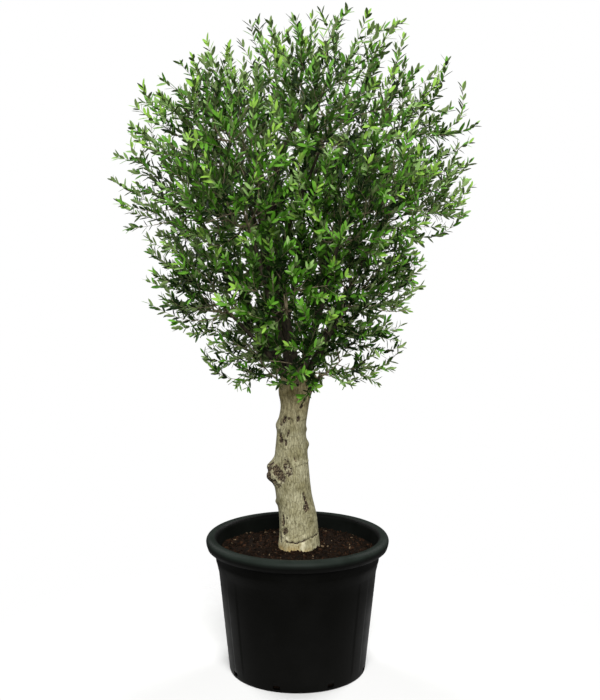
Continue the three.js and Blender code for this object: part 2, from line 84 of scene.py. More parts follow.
CAMERA_SPOT = (0.009, -4.2, 1.737)
CAMERA_DIP = 7.9  # degrees below level
CAMERA_LENS = 62.49

camera = bpy.data.objects.new("camera", bpy.data.cameras.new("camera"))
SCENE.collection.objects.link(camera)
SCENE.camera = camera
camera.location = CAMERA_SPOT
camera.rotation_euler = (math.radians(90 - CAMERA_DIP), 0, 0)
camera.data.sensor_width = 36
camera.data.lens = CAMERA_LENS
camera.data.clip_end = 100

# ---- Driving dimensions, the same as the part's own ----

UP = np.array([0.0, 0.0, 1.0])
CROWN_HEART = np.array([0.0, 0.0, 1560.0])
CELL_GAP = 3
MARCH_STEP = 2

POT_HEIGHT = 492
POT_FOOT_RADIUS = 244
POT_WALL = 5
POT_FLOOR = 7
POT_NECK_RADIUS = 281
POT_NECK_HEIGHT = 372
POT_COLLAR_RADIUS = 291
POT_COLLAR_HEIGHT = 408
POT_RIM_RADIUS = 325
POT_RIM_DROP = 42
DRAIN_HOLES = 8
DRAIN_BEARING = 28
DRAIN_WIDTH = 26
DRAIN_HEIGHT = 16
DRAIN_SILL = 8.5

SOIL_LEVEL = 447
SOIL_SINK = 14
SOIL_FLAT = 95
SOIL_BREAK = (216, 9)

# Height, lean to the right and width of the trunk.
TRUNK_STATIONS = [
    (SOIL_LEVEL, 3, 140), (555, 1, 134), (650, -14, 127), (760, -20, 118),
    (870, -19, 102), (965, -7, 99), (1040, -2, 118), (1082, 0, 84),
]
ROOT_FLARE = 0.07
ROOT_FLARE_HEIGHT = 45
TRUNK_LOBES = 3
LOBE_DEPTH = 0.035
LOBE_PITCH = 150
# Height, bearing, how proud and how wide each burl is.
BURLS = [
    (745, 182, 21, 22), (722, 192, 14, 27), (700, 186, 22, 22), (890, 178, 7, 18), (873, 2, 4, 9),
    (820, 2, 9, 16), (612, 183, 6, 10), (1058, 8, 16, 34), (1000, 190, 6, 30), (665, 60, 10, 30),
]

LEADER_WIDTH = 40
LEADER_TIP_WIDTH = 14
BOUGH_SUNK = 24
BOUGH_TIP_SHARE = 0.5
BOUGH_LEAVE = (0.55, 0.85)
BOUGH_SWING = 0.35
LEADER_COURSE = [
    (-2, 0, 1050), (-30, 10, 1200), (-74, 14, 1360), (-100, 4, 1490),
    (-90, -6, 1650), (-62, 0, 1810), (30, 4, 1985),
]

# Tiers of masses: name, height, ring radius, shift, count, bearing, half width, half height, drop of
# every second one, bough width, then where the boughs leave the trunk (a height) or the leader (shares).
TIERS = [
    ("skirt", 1175, 202, 14, 5, 198, 174, 182, 14, 18, 1010),
    ("lower", 1435, 310, -50, 6, 30, 234, 212, 22, 22, 1040),
    ("middle", 1755, 382, -8, 6, 0, 280, 250, 30, 25, 1062),
    ("shoulder", 1954, 335, 16, 5, 0, 268, 240, 16, 18, (0.62, 0.34)),
    ("top", 2092, 0, 100, 1, 0, 312, 213, 0, 16, (0.9, 0.9)),
    ("heart", 1680, 0, 40, 1, 0, 200, 250, 0, 16, (0.22, 0.22)),
]

# ---- The growth of one mass ----

ENDS = 6  # main twig ends of a mass, as in the source
STREWN_SPOTS = 260
END_ROOM = 32
END_SPACING = 76
STEM_SHARE = 0.6
TRAIL_WEIGHT = 0.3
STREW_STEPS = np.array([0.8191725134, 0.6710436067, 0.5497004779])

# Finer twigs fill the space between the main ones. Their ends are farther apart near the crown's skin, so
# that single shoots stand out of it, and where it is open.
FINE_SPOTS = 4200  # spots that are tried for their ends
FINE_STRETCH = 1.25  # how far out of a mass's own ellipsoid they are tried, to fill the crown's notches
SKIN_BLEND = 30  # how far from each other the ellipsoids blend into the crown's one skin
# Least depth of an end under that skin, and how much farther apart the ends are there, tier by tier.
FINE_SKIN = {
    "skirt": (22, 0.4), "lower": (24, 0.45), "middle": (20, 0.78),
    "shoulder": (-10, 0.75), "top": (-28, 0.5), "heart": (20, 0.0),
}
FINE_SIDE_ROOM = 6  # and from the planes to its neighbours
BOX_ROOM = 26  # and from the sides of the whole plant's box
HEAD_ROOM = (1098, 185)  # no end is lower than this as near as this to the trunk's axis
FINE_SPACING = 52  # least distance between two ends
FINE_MOST = 420
SKIN_DEPTH = 110  # how deep the sparse zone under the skin goes
CLUMPING = (150, 0.25)  # size of the clumps and how much they draw together
# Where the crown is more open than elsewhere: how much farther apart the ends are, and the x and z
# over which that sets in.
OPEN_PLACES = [
    (0.45, (-60, 200), (1800, 2000)),  # sky shows through the upper right
    (0.35, (-400, -520), (1900, 1780)),  # the left edge
    (0.7, (60, 140), (1220, 1120)),  # the skirt's right
    (1.5, (-330, -430), (2030, 2110)),  # the upper left corner
    (-0.3, (300, 420), (1850, 1750)),  # and denser on the right, lower down
]
GROWTH_LIFT = 0.75  # how much shoots like to grow up, beside outwards
FINE_BUD_STEP = 14
BUD_ROOM = (25, 200)  # a bud as near as this to an end is hardly taken for it: what that costs
TURN_WEIGHT = 60  # what it costs a finer twig to grow back against its crown's way, in mm
LEAF_REACH = 160  # the length of main twig, back from its end, that still bears leaves
LEAFY_MOST = 5  # a twig that carries more ends than this bears no leaves of its own

TWIG_SIDES = 3
TWIG_STEPS = 5
TWIG_TIP_RADIUS = 0.9
TWIG_TAPER = (0.8, 0.45)  # least radius at a twig's end: shares of the tip's radius and its foot's
TWIG_LEAVE = 0.55  # how much a twig keeps of the way that its bud points
TWIG_SAG = 0.13  # how far a twig sags before it turns up to its end, as a share of its run
TWIG_LENGTH = 1.04  # its length as a share of its run, since it is bent

PAIR_STEP = 14.5  # between one pair of leaves and the next, well back from a shoot's end
PAIR_CROWDING = (0.62, 1.25)  # factor and power of the pairs' number: they crowd towards the end
PAIR_VARIES = (0.85, 1.2)  # how the step varies from shoot to shoot
PAIRS_MOST = 30
PAIR_TWIST = 0.25  # how far a pair strays from crosswise to the last, in radians
BARE_FOOT = 10  # the length of a shoot, from its foot, that bears no leaves
LEAF_MISSING = 0.08  # the share of leaves that have dropped
LEAF_LENGTH = (27, 44)
LEAF_RATIO = 0.32  # a leaf's width as a share of its length
LEAF_SPREAD = (24, 64)  # degrees between a leaf and its shoot
LEAF_LIFT = 0.12  # how much a leaf turns up
LEAF_FACING = (0.5, 0.4, 0.6, 0.3)  # how much it faces along its shoot, up, outwards and any way
TIP_SIZE = (0.78, 0.22, 3)  # leaves' size near a shoot's end: least, gain, and pairs to full size
TIP_SPREAD = (0.55, 0.45)  # their spread there: least and gain
TIP_OPENING = (0.3, 0.25)  # the share of that gain at the end, and what each pair adds
LOW_REACH = (2200, 1100)  # heights down which the leaves become low ones:
LOW_LEAF = 0.12  # how much shorter these are
LOW_STEP = 0.22  # and how much closer together
LEAF_LIMITS = (-75, -60)  # least depth of a leaf's tip under the crown's skin, and from the planes
TRUNK_ROOM = 6  # how far leaves stay off the trunk
BOX_EDGE = 1  # and inside the whole plant's box

YOUNG_AND_LIT_SHARES = (0.42, 0.36, 0.2, 0.12)  # a leaf gets a paler green by its spray, by painted light near the skin, by the tip and by chance
LIT_SKIN_DEPTH = 140  # the depth under the skin over which that painted light fades
YOUNG_PAIRS = 2.5  # and the pairs back from the tip


# ---- Helpers ----


def unit(rows):
    """Each row scaled to length 1."""
    return rows / np.maximum(norm(rows, axis=-1, keepdims=True), 1e-9)


def heading(degrees):
    """A level direction at a bearing: 0 is +X and 90 is +Y."""
    return np.array([math.cos(math.radians(degrees)), math.sin(math.radians(degrees)), 0.0])


def capped(values):
    """Values kept from 0 to 1."""
    return np.clip(values, 0, 1)


def ramp(values, reach):
    """From 0 at one end of a reach to 1 at the other."""
    return capped((values - reach[0]) / (reach[1] - reach[0]))


# ---- Materials ----


def linear(code):
    """An sRGB hex colour as the linear colour that a shader takes."""
    shares = [int(code[i : i + 2], 16) / 255 for i in (1, 3, 5)]
    return tuple(s / 12.92 if s <= 0.04045 else ((s + 0.055) / 1.055) ** 2.4 for s in shares) + (1.0,)


def feed(node, feeds):
    """Sets inputs of a node to values, or links them from sockets or from other nodes' first outputs."""
    for name, value in feeds.items():
        if isinstance(value, bpy.types.Node):
            value = value.outputs[0]
        if isinstance(value, bpy.types.NodeSocket):
            node.id_data.links.new(value, node.inputs[name])
        else:
            node.inputs[name].default_value = value


def add(tree, kind, feeds=None, stops=(), **settings):
    """Adds a shader node, with its settings, its inputs as values or links, and a ramp's stops."""
    node = tree.nodes.new("ShaderNode" + kind)
    for name, value in settings.items():
        setattr(node, name, value)
    feed(node, feeds or {})
    for _ in stops[2:]:
        node.color_ramp.elements.new(0.5)
    for i, (place, shade) in enumerate(stops):
        element = node.color_ramp.elements[i]
        element.position = place
        element.color = linear(shade) if isinstance(shade, str) else (shade, shade, shade, 1)
    return node


def finish_of(name, roughness, specular):
    """A new material, its node tree, its Principled shader with the plain numbers on its own sockets,
    and object coordinates in metres. A noise's Scale is 1000 over the size of its patches in mm."""
    material = bpy.data.materials.new(name)
    material.use_nodes = True
    tree = material.node_tree
    shader = tree.nodes["Principled BSDF"]
    feed(shader, {"Roughness": roughness, "Specular IOR Level": specular})
    return material, tree, shader, add(tree, "TexCoord").outputs["Object"]


def make_pot_plastic():
    """Black polypropylene, injection moulded: a deep black wall with a low, broad sheen and a fine grain from
    the mould.
    The rolled rim's upward top is greener and paler, a painted highlight, and the inside of the lip a little
    paler, a painted reflection; the mesh's own attribute marks both."""
    material, tree, shader, spot = finish_of("black_polypropylene_moulded", 0.5, 0.04)
    dust = add(tree, "TexNoise", {"Vector": spot, "Scale": 1000 / 90, "Detail": 5, "Roughness": 0.55})
    wall = add(tree, "ValToRGB", {"Fac": dust}, [(0.35, "#040403"), (0.75, "#070706")])
    rim_highlight_tone = add(tree, "ValToRGB", {"Fac": dust}, [(0.3, "#171c18"), (0.75, "#222824")])
    # Painted highlight: the "rim" mark pales and greens the rolled rim's upward top, and faintly the inside
    # of the lip as painted reflection.
    rim = add(tree, "Attribute", attribute_name="rim").outputs["Fac"]
    tone = add(tree, "Mix", {0: rim, 6: wall, 7: rim_highlight_tone}, data_type="RGBA")
    sheen = add(tree, "ValToRGB", {"Fac": dust}, [(0.3, 0.42), (0.8, 0.62)])
    grain = add(tree, "TexNoise", {"Vector": spot, "Scale": 1000 / 1.6, "Detail": 3, "Roughness": 0.55})
    bump = add(tree, "Bump", {"Height": grain, "Strength": 0.08, "Distance": 0.001})
    feed(shader, {"Base Color": tone.outputs[2], "Roughness": sheen, "Normal": bump})
    return material


def make_soil(name, stops):
    """Peat potting soil with bark crumbs: matt, dark and reddish brown, paler where a crumb is dry."""
    material, tree, shader, spot = finish_of(name, 0.95, 0.04)
    patches = add(tree, "TexNoise", {"Vector": spot, "Scale": 1000 / 14, "Detail": 6, "Roughness": 0.7})
    tone = add(tree, "ValToRGB", {"Fac": patches}, stops)
    grit = add(tree, "TexNoise", {"Vector": spot, "Scale": 1000 / 4, "Detail": 6, "Roughness": 0.75})
    bump = add(tree, "Bump", {"Height": grit, "Strength": 0.8, "Distance": 0.004})
    feed(shader, {"Base Color": tone, "Normal": bump})
    return material


def make_old_bark():
    """Old olive bark: smooth greyish tan with fine upright streaks and a net of hairline fissures,
    browner and more deeply split at the head, pale and ochre at the foot, and dark brown in the scars. The
    head's fold at one bearing takes the same dark as painted shade.
    The mesh's own attributes mark the scars together with that painted shade, the brown head, the pale and
    the ochre places."""
    material, tree, shader, spot = finish_of("olive_bark_old", 0.85, 0.2)
    upright = add(tree, "Mapping", {"Vector": spot, "Scale": (1, 1, 0.22)})
    noises = [(upright, 5, 5, 0.7), (spot, 60, 4, 0.55), (spot, 5, 5, 0.7), (spot, 8, 5, 0.75)]
    streak, plate, crumb, speck = [
        add(tree, "TexNoise", {"Vector": vector, "Scale": 1000 / size, "Detail": detail, "Roughness": rough})
        for vector, size, detail, rough in noises
    ]
    # Fissures run round cells about 11 mm across and twice as tall, whose edges waver by a few mm.
    waver = add(tree, "TexNoise", {"Vector": spot, "Scale": 90.0, "Detail": 2})
    tall = add(tree, "Mapping", {"Vector": spot, "Scale": (1, 1, 0.45)})
    bent = {0: waver.outputs["Color"], 1: (0.006, 0.006, 0.006), 2: tall}
    bent = add(tree, "VectorMath", bent, operation="MULTIPLY_ADD")
    cells = add(tree, "TexVoronoi", {"Vector": bent, "Scale": 95.0}, feature="DISTANCE_TO_EDGE")
    net = {"Fac": cells.outputs["Distance"]}
    net = add(tree, "ValToRGB", net, [(0.0, "#9a9a9a"), (0.1, "#ffffff")])
    greys = [(0.32, "#544f3a"), (0.43, "#847f62"), (0.53, "#9a967a"), (0.68, "#aca889")]
    toned = add(tree, "ValToRGB", {"Fac": streak}, greys)
    worn = add(tree, "ValToRGB", {"Fac": plate}, [(0.35, "#c9c6b6"), (0.62, "#ffffff")])
    marks = ("brown", "pale", "ochre", "scar_and_fold_shade")
    brown, pale, ochre, scar_and_fold_shade = [add(tree, "Attribute", attribute_name=name).outputs["Fac"] for name in marks]
    dark = add(tree, "ValToRGB", {"Fac": crumb}, [(0.4, "#15100b"), (0.53, "#3b3024"), (0.64, "#8c7e62")])
    # The scars' mark also carries painted shade in the head's fold, which takes the same dark brown.
    ragged = add(tree, "Math", {0: speck, 1: 1.7, 2: scar_and_fold_shade}, operation="MULTIPLY_ADD")
    scarred_and_shaded = add(tree, "MapRange", {"Value": ragged, "From Min": 1.25, "From Max": 1.5})
    for blend, share, shade in [
        ("MULTIPLY", 1.0, worn),
        ("MULTIPLY", 0.5, net),
        ("MULTIPLY", brown, linear("#fdefd0")),
        ("MIX", pale, linear("#c4bfa2")),
        ("MIX", ochre, linear("#9c7f45")),
        ("MIX", scarred_and_shaded, dark),
    ]:
        feeds = {0: share, 6: toned, 7: shade}
        toned = add(tree, "Mix", feeds, data_type="RGBA", blend_type=blend).outputs[2]
    relief = add(tree, "Math", {0: streak, 1: net}, operation="ADD")
    bump = add(tree, "Bump", {"Height": relief, "Strength": 0.5, "Distance": 0.002})
    feed(shader, {"Base Color": toned, "Normal": bump})
    return material


def make_young_bark(name, low, high):
    """Young olive bark: smooth and grey, with faint pale streaks along the limb."""
    material, tree, shader, spot = finish_of(name, 0.75, 0.25)
    along = add(tree, "Mapping", {"Vector": spot, "Scale": (1, 1, 0.3)})
    streak = add(tree, "TexNoise", {"Vector": along, "Scale": 1000 / 9, "Detail": 4, "Roughness": 0.55})
    tone = add(tree, "ValToRGB", {"Fac": streak}, [(0.35, low), (0.65, high)])
    bump = add(tree, "Bump", {"Height": streak, "Strength": 0.3, "Distance": 0.001})
    feed(shader, {"Base Color": tone, "Normal": bump})
    return material


def make_leaf(name, shade, roughness, specular):
    """An olive leaf's face: leathery, with a waxy sheen above and dull and silvery beneath. It is one
    plain colour, so that a spray keeps its own green; only a slight waviness is in the surface."""
    material, tree, shader, spot = finish_of(name, roughness, specular)
    wave = add(tree, "TexNoise", {"Vector": spot, "Scale": 1000 / 12, "Detail": 2, "Roughness": 0.55})
    bump = add(tree, "Bump", {"Height": wave, "Strength": 0.25, "Distance": 0.001})
    feed(shader, {"Base Color": linear(shade), "Normal": bump})
    return material


FLOOR_FADE = (0.35, 1.3)  # distances in metres over which the floor runs out


def make_floor():
    """A plain pale studio floor, painted and matt, which runs out softly into the white backdrop."""
    material, tree, shader, spot = finish_of("studio_floor_painted", 0.9, 0.1)
    faint = add(tree, "TexNoise", {"Vector": spot, "Scale": 1000 / 900, "Detail": 2, "Roughness": 0.55})
    tone = add(tree, "ValToRGB", {"Fac": faint}, [(0.3, "#d6d6d5"), (0.7, "#dadad9")])
    away = add(tree, "VectorMath", {0: spot}, operation="LENGTH").outputs["Value"]
    fade = {"Value": away, "From Min": FLOOR_FADE[0], "From Max": FLOOR_FADE[1], "To Min": 1.0, "To Max": 0.0}
    solid = add(tree, "MapRange", fade, interpolation_type="SMOOTHSTEP")
    feed(shader, {"Base Color": tone, "Alpha": solid})
    return material


# The greens of the sprays, from the deepest to the young tips, and how often each is dealt. The deep ones
# also stand for painted shade inside and low in the crown, the pale ones for painted light on its skin.
LEAF_GREENS = [
    ("leaf_shade_green", "#132607", 0.18),
    ("leaf_deep_green", "#233f09", 0.19),
    ("leaf_full_green", "#3a6714", 0.23),
    ("leaf_mid_green", "#578a2a", 0.20),
    ("leaf_grey_green", "#7a9a57", 0.11),
    ("leaf_young_and_lit_green", "#80a842", 0.09),
]
LEAF_UNDERSIDE = ("leaf_silver_underside", "#768c55")
LOW_CROWN_SHADE = ([1100, 1700, 2200], [2.1, 1.1, 0.7])  # by height, how far the deep greens prevail: painted shade that darkens the lower crown

PEAT_TONES = [(0.3, "#070503"), (0.5, "#120c07"), (0.68, "#22170e"), (0.85, "#3d2e1f")]
CRUMB_TONES = [(0.3, "#0f0a06"), (0.5, "#26180f"), (0.7, "#402c1e"), (0.85, "#604936")]
DRY_TONES = [(0.3, "#43372a"), (0.5, "#5c4d3b"), (0.7, "#75664f"), (0.85, "#8d7e68")]

POT_PLASTIC = make_pot_plastic()
SOIL = make_soil("peat_soil", PEAT_TONES)
CRUMBS = make_soil("bark_crumbs", CRUMB_TONES)
DRY_CRUMBS = make_soil("dry_wood_crumbs", DRY_TONES)
OLD_BARK = make_old_bark()
# Painted shade: the boughs' grey-brown bark is made much darker than the twigs', to stand for the shade
# inside the crown.
BOUGH_BARK_SHADED = make_young_bark("olive_bark_young_shaded", "#231f17", "#494233")
TWIG_BARK = make_young_bark("olive_twig_bark", "#564d3a", "#8f8468")
LEAVES = [make_leaf(name, shade, 0.52, 0.09) for name, shade, _ in LEAF_GREENS]
LEAVES.append(make_leaf(*LEAF_UNDERSIDE, 0.7, 0.05))
FLOOR = make_floor()


# ---- Pieces ----


def piece_of(name, mesh, materials, nodes=(), smooth=True):
    """A finished piece that rides on the frame, in place of some of its nodes."""
    for material in materials:
        mesh.materials.append(material)
    if smooth:
        mesh.shade_smooth()
    else:
        mesh.shade_flat()
    piece = bpy.data.objects.new(name, mesh)
    SCENE.collection.objects.link(piece)
    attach(piece, "root")
    if nodes:
        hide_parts(*nodes)


def mesh_from(name, bm):
    """A mesh in metres from a bmesh in millimetres, with its faces pointing outwards."""
    bmesh.ops.recalc_face_normals(bm, faces=bm.faces)
    bmesh.ops.scale(bm, vec=(MM, MM, MM), verts=bm.verts)
    mesh = bpy.data.meshes.new(name)
    bm.to_mesh(mesh)
    bm.free()
    return mesh


def mesh_of_arrays(name, spots, faces, face_materials=None):
    """A mesh in metres from arrays: corner spots in millimetres and faces of one size."""
    mesh = bpy.data.meshes.new(name)
    mesh.vertices.add(len(spots))
    mesh.vertices.foreach_set("co", (spots * MM).astype(np.float32).ravel())
    size = faces.shape[1]
    mesh.loops.add(faces.size)
    mesh.loops.foreach_set("vertex_index", faces.astype(np.int32).ravel())
    mesh.polygons.add(len(faces))
    mesh.polygons.foreach_set("loop_start", np.arange(0, faces.size, size, dtype=np.int32))
    if face_materials is not None:
        mesh.polygons.foreach_set("material_index", face_materials.astype(np.int32))
    mesh.update(calc_edges=True)
    return mesh


def mark(mesh, name, values):
    """Keeps a number from 0 to 1 on every corner of a mesh, for its material to read."""
    values = capped(values).astype(np.float32)
    mesh.attributes.new(name, "FLOAT", "POINT").data.foreach_set("value", values)


def stamped(faces, corners, count):
    """The faces of a template with so many corners, repeated for count copies."""
    shift = np.arange(count)[:, None, None] * corners
    return (faces[None] + shift).reshape(-1, faces.shape[1])


def spots_of(bm):
    """The corners of a bmesh as rows."""
    return np.array([corner.co for corner in bm.verts])


def move_to(bm, rows):
    """Moves every corner of a bmesh to its new place."""
    for corner, row in zip(bm.verts, rows):
        corner.co = row


# A lattice of random numbers, from which a smooth noise is read.
LATTICE = np.random.default_rng(11).random((32, 32, 32))


def patchy(rows, size):
    """Smooth noise from -1 to 1 with patches of that size, at each row."""
    q = rows / size
    low = np.floor(q).astype(int)
    share = q - low
    share = share * share * (3 - 2 * share)
    total = np.zeros(len(rows))
    for corner in np.ndindex(2, 2, 2):
        weight = np.prod(np.where(corner, share, 1 - share), axis=1)
        total += weight * LATTICE[tuple(((low + corner) % len(LATTICE)).T)]
    return total * 2 - 1


def rough(rows, size, octaves=4):
    """Several sizes of patchy noise together, from about -1 to 1."""
    return sum(patchy(rows + 17.3 * i, size / 2**i) / 2**i for i in range(octaves)) / 1.6


def spun(profile, steps):
    """A closed turned shape from its profile of (radius, height)."""
    bm = bmesh.new()
    corners = [bm.verts.new((r, 0, z)) for r, z in profile]
    edges = [bm.edges.new(pair) for pair in zip(corners, corners[1:])]
    turn = {"axis": UP, "cent": (0, 0, 0), "angle": math.tau, "steps": steps, "use_merge": True}
    bmesh.ops.spin(bm, geom=corners + edges, **turn)
    bmesh.ops.remove_doubles(bm, verts=bm.verts, dist=0.01)
    return bm


def arc(centre_r, centre_z, radius, first, last, steps):
    """Points of a profile round a centre, from one angle in degrees to another."""
    turns = np.radians(np.linspace(first, last, steps + 1))
    return [(centre_r + radius * math.cos(t), centre_z + radius * math.sin(t)) for t in turns]


# ---- Pot ----

POT_ROLL = 19  # radius of the rolled rim
RIM_HIGHLIGHT_HEIGHTS = (468, 480)  # heights over which the rim's painted highlight sets in
PANELS = [(28, 41), (139, 152), (208, 221), (319, 332)]  # raised upright bands, by bearing
PANEL_PROUD = 1.6
WALL_WAVER = 0.7


def wall_radius(height):
    return POT_FOOT_RADIUS + (POT_NECK_RADIUS - POT_FOOT_RADIUS) * height / POT_NECK_HEIGHT


def pot_profile():
    """Down the outside from the middle of the underside, over the rolled rim and down the inside."""
    roll = POT_ROLL
    sill, lintel = DRAIN_SILL, DRAIN_SILL + DRAIN_HEIGHT
    heights = [sill, sill + 8, lintel, 40, 80, 130, 180, 230, 280, 330, POT_NECK_HEIGHT - 4]
    outside = [(wall_radius(z), z) for z in heights]
    inner = POT_COLLAR_RADIUS - POT_WALL
    collar = [
        (POT_NECK_RADIUS + 1.8, POT_NECK_HEIGHT + 3),
        (POT_COLLAR_RADIUS - 4, POT_COLLAR_HEIGHT - 14),
        (POT_COLLAR_RADIUS - 1, POT_COLLAR_HEIGHT - 4),
        (POT_COLLAR_RADIUS, POT_COLLAR_HEIGHT + 4),
        (POT_COLLAR_RADIUS, POT_HEIGHT - 16),
        (POT_COLLAR_RADIUS + 5, POT_HEIGHT - 9),
    ]
    lip = POT_WALL / 2
    lip_low = POT_HEIGHT - POT_RIM_DROP + lip
    lip_middle = POT_RIM_RADIUS - lip - 5
    rim = [
        (POT_RIM_RADIUS - POT_WALL - 4, POT_HEIGHT - 16),
        (lip_middle - lip, lip_low + 4),
        *arc(lip_middle, lip_low, lip, 180, 330, 4),
        (POT_RIM_RADIUS - 1.2, POT_HEIGHT - roll - 9),
        *arc(POT_RIM_RADIUS - roll, POT_HEIGHT - roll, roll, 0, 90, 9),
        *arc(inner + roll, POT_HEIGHT - roll, roll, 95, 180, 8),
    ]
    inside = [
        (inner, POT_COLLAR_HEIGHT),
        (POT_NECK_RADIUS - POT_WALL, POT_NECK_HEIGHT),
        (wall_radius(180) - POT_WALL, 180),
        *[(wall_radius(z) - POT_WALL, z) for z in (lintel, sill + 8, sill)],
    ]
    foot = POT_FOOT_RADIUS
    underside = [(0, 0), (foot - 30, 0), (foot - 4, 0), (foot - 1, 1.5)]
    return [*underside, *outside, *collar, *rim, *inside, (foot - 12, POT_FLOOR), (0, POT_FLOOR)]


def cut_drain_holes(bm):
    """Opens the drain holes through the foot of the wall and closes each round its edge."""
    half = math.degrees(DRAIN_WIDTH / 2 / POT_FOOT_RADIUS)
    for i in range(DRAIN_HOLES):
        middle = DRAIN_BEARING + 360 * i / DRAIN_HOLES
        cut = []
        for face in bm.faces:
            x, y, z = face.calc_center_median()
            off = (math.degrees(math.atan2(y, x)) - middle + 180) % 360 - 180
            low = DRAIN_SILL < z < DRAIN_SILL + DRAIN_HEIGHT
            if low and abs(off) < half and math.hypot(x, y) > POT_FOOT_RADIUS - 10:
                cut.append(face)
        bmesh.ops.delete(bm, geom=cut, context="FACES")
        bmesh.ops.bridge_loops(bm, edges=[edge for edge in bm.edges if edge.is_boundary])


def build_pot():
    bm = spun(pot_profile(), 360)
    rows = spots_of(bm)
    x, y, z = rows.T
    radius = np.hypot(x, y)
    bearing = np.degrees(np.arctan2(y, x)) % 360
    wall = (z > 34) & (z < POT_NECK_HEIGHT) & (radius > wall_radius(z) - 2)
    proud = np.zeros(len(rows))
    for first, last in PANELS:
        flank = np.minimum(bearing - first, last - bearing) / 0.8
        proud = np.maximum(proud, capped(flank) * PANEL_PROUD)
    fade = ramp(z, (POT_NECK_HEIGHT, POT_NECK_HEIGHT - 30)) * ramp(z, (30, 40))
    waver = WALL_WAVER * patchy(rows, 160)
    grow = 1 + np.where(wall, proud * fade, 0) / np.maximum(radius, 1)
    grow += np.where((z > 30) & (z < 440), waver, 0) / np.maximum(radius, 60)
    move_to(bm, np.column_stack([x * grow, y * grow, z]))
    cut_drain_holes(bm)
    x, y, z = spots_of(bm).T
    radius = np.hypot(x, y)
    # Painted highlight on the rim's upward top, and a faint painted reflection on the inside of the lip, for
    # the material's "rim" mark.
    rim = ramp(radius, (POT_COLLAR_RADIUS, POT_COLLAR_RADIUS + 8)) * ramp(z, RIM_HIGHLIGHT_HEIGHTS)
    inner_lip_reflection = (radius < POT_COLLAR_RADIUS - POT_WALL / 2) & (z > POT_COLLAR_HEIGHT - 1)
    mesh = mesh_from("pot", bm)
    mark(mesh, "rim", np.maximum(rim, 0.15 * inner_lip_reflection))
    piece_of("pot_shell", mesh, [POT_PLASTIC], ["pot"])


# ---- Soil ----

SOIL_REACH = POT_COLLAR_RADIUS - POT_WALL - 1.0
COLLAR_OF_SOIL = (5, 82, 16)  # how high, how far out and how wide the soil is heaped round the trunk
CRUMB_COUNT = 5600
CRUMBS_HEAPED = 900  # how many of them lie round the trunk's foot,
CRUMB_RING = (72, 30)  # from how far out, and over what width
CRUMB_RADIUS = (1.4, 5.4)  # least radius and gain
CRUMB_SHARES = [0.55, 0.42, 0.03]  # of dark, brown and dry ones


def ground_level(x, y):
    """Height of the soil: level by the trunk, lower towards the wall, with clods and hollows."""
    away = np.hypot(x, y)
    level = SOIL_LEVEL - 2
    heights = [level, level, SOIL_LEVEL - SOIL_BREAK[1], SOIL_LEVEL - SOIL_SINK]
    bed = np.interp(away, [0, SOIL_FLAT, SOIL_BREAK[0], SOIL_REACH], heights)
    flat = np.column_stack([x, y, np.zeros_like(x)])
    high, out, wide = COLLAR_OF_SOIL
    heaped = high * np.exp(-(((away - out) / wide) ** 2)) * (0.6 + patchy(flat, 34))
    return bed + heaped + 5 * patchy(flat, 120) + 6 * rough(flat, 46) + 3.4 * rough(flat + 90, 13)


def build_soil():
    edge = SOIL_LEVEL - SOIL_SINK
    rings = SOIL_REACH * np.linspace(0, 1, 72)[1:-1]
    profile = [(0, 12), (POT_FOOT_RADIUS - 8, 12), (POT_NECK_RADIUS - 7, POT_NECK_HEIGHT),
               (SOIL_REACH, POT_COLLAR_HEIGHT), (SOIL_REACH, edge - 12),
               *[(r, SOIL_LEVEL) for r in reversed(rings)], (0, SOIL_LEVEL)]
    bm = spun(profile, 220)
    rows = spots_of(bm)
    ground = rows[:, 2] > edge - 0.5
    rows[:, 2] = np.where(ground, ground_level(rows[:, 0], rows[:, 1]), rows[:, 2])
    move_to(bm, rows)
    piece_of("soil_bed", mesh_from("soil", bm), [SOIL], ["soil"])


def build_crumbs():
    """Crumbs of bark and peat strewn over the bed and heaped round the trunk's foot, each a squashed
    lump turned its own way. A few are dry and pale."""
    dice = np.random.default_rng(5)
    count = CRUMB_COUNT
    lump = bmesh.new()
    bmesh.ops.create_icosphere(lump, subdivisions=1, radius=1)
    template = spots_of(lump)
    faces = np.array([[corner.index for corner in face.verts] for face in lump.faces])
    lump.free()
    away = np.sqrt(dice.random(count)) * (SOIL_REACH - 5)
    away[:CRUMBS_HEAPED] = CRUMB_RING[0] + CRUMB_RING[1] * dice.random(CRUMBS_HEAPED) ** 1.5
    turn = dice.random(count) * math.tau
    x, y = away * np.cos(turn), away * np.sin(turn)
    spots = np.column_stack([x, y, ground_level(x, y)])
    size = CRUMB_RADIUS[0] + CRUMB_RADIUS[1] * dice.random(count) ** 2.6
    axes = unit(dice.normal(size=(count, 3, 3)))
    squash = 0.45 + 0.9 * dice.random((count, 1, 3))
    bumpy = template[None] * squash * (0.8 + 0.4 * dice.random((count, len(template), 1)))
    rows = np.einsum("nvk,nkx->nvx", bumpy, axes) * size[:, None, None] + spots[:, None]
    kinds = np.repeat(dice.choice(3, count, p=CRUMB_SHARES), len(faces))
    mesh = mesh_of_arrays("crumbs", rows.reshape(-1, 3), stamped(faces, len(template), count), kinds)
    piece_of("soil_crumbs", mesh, [SOIL, CRUMBS, DRY_CRUMBS], smooth=False)


# ---- Courses of limbs ----


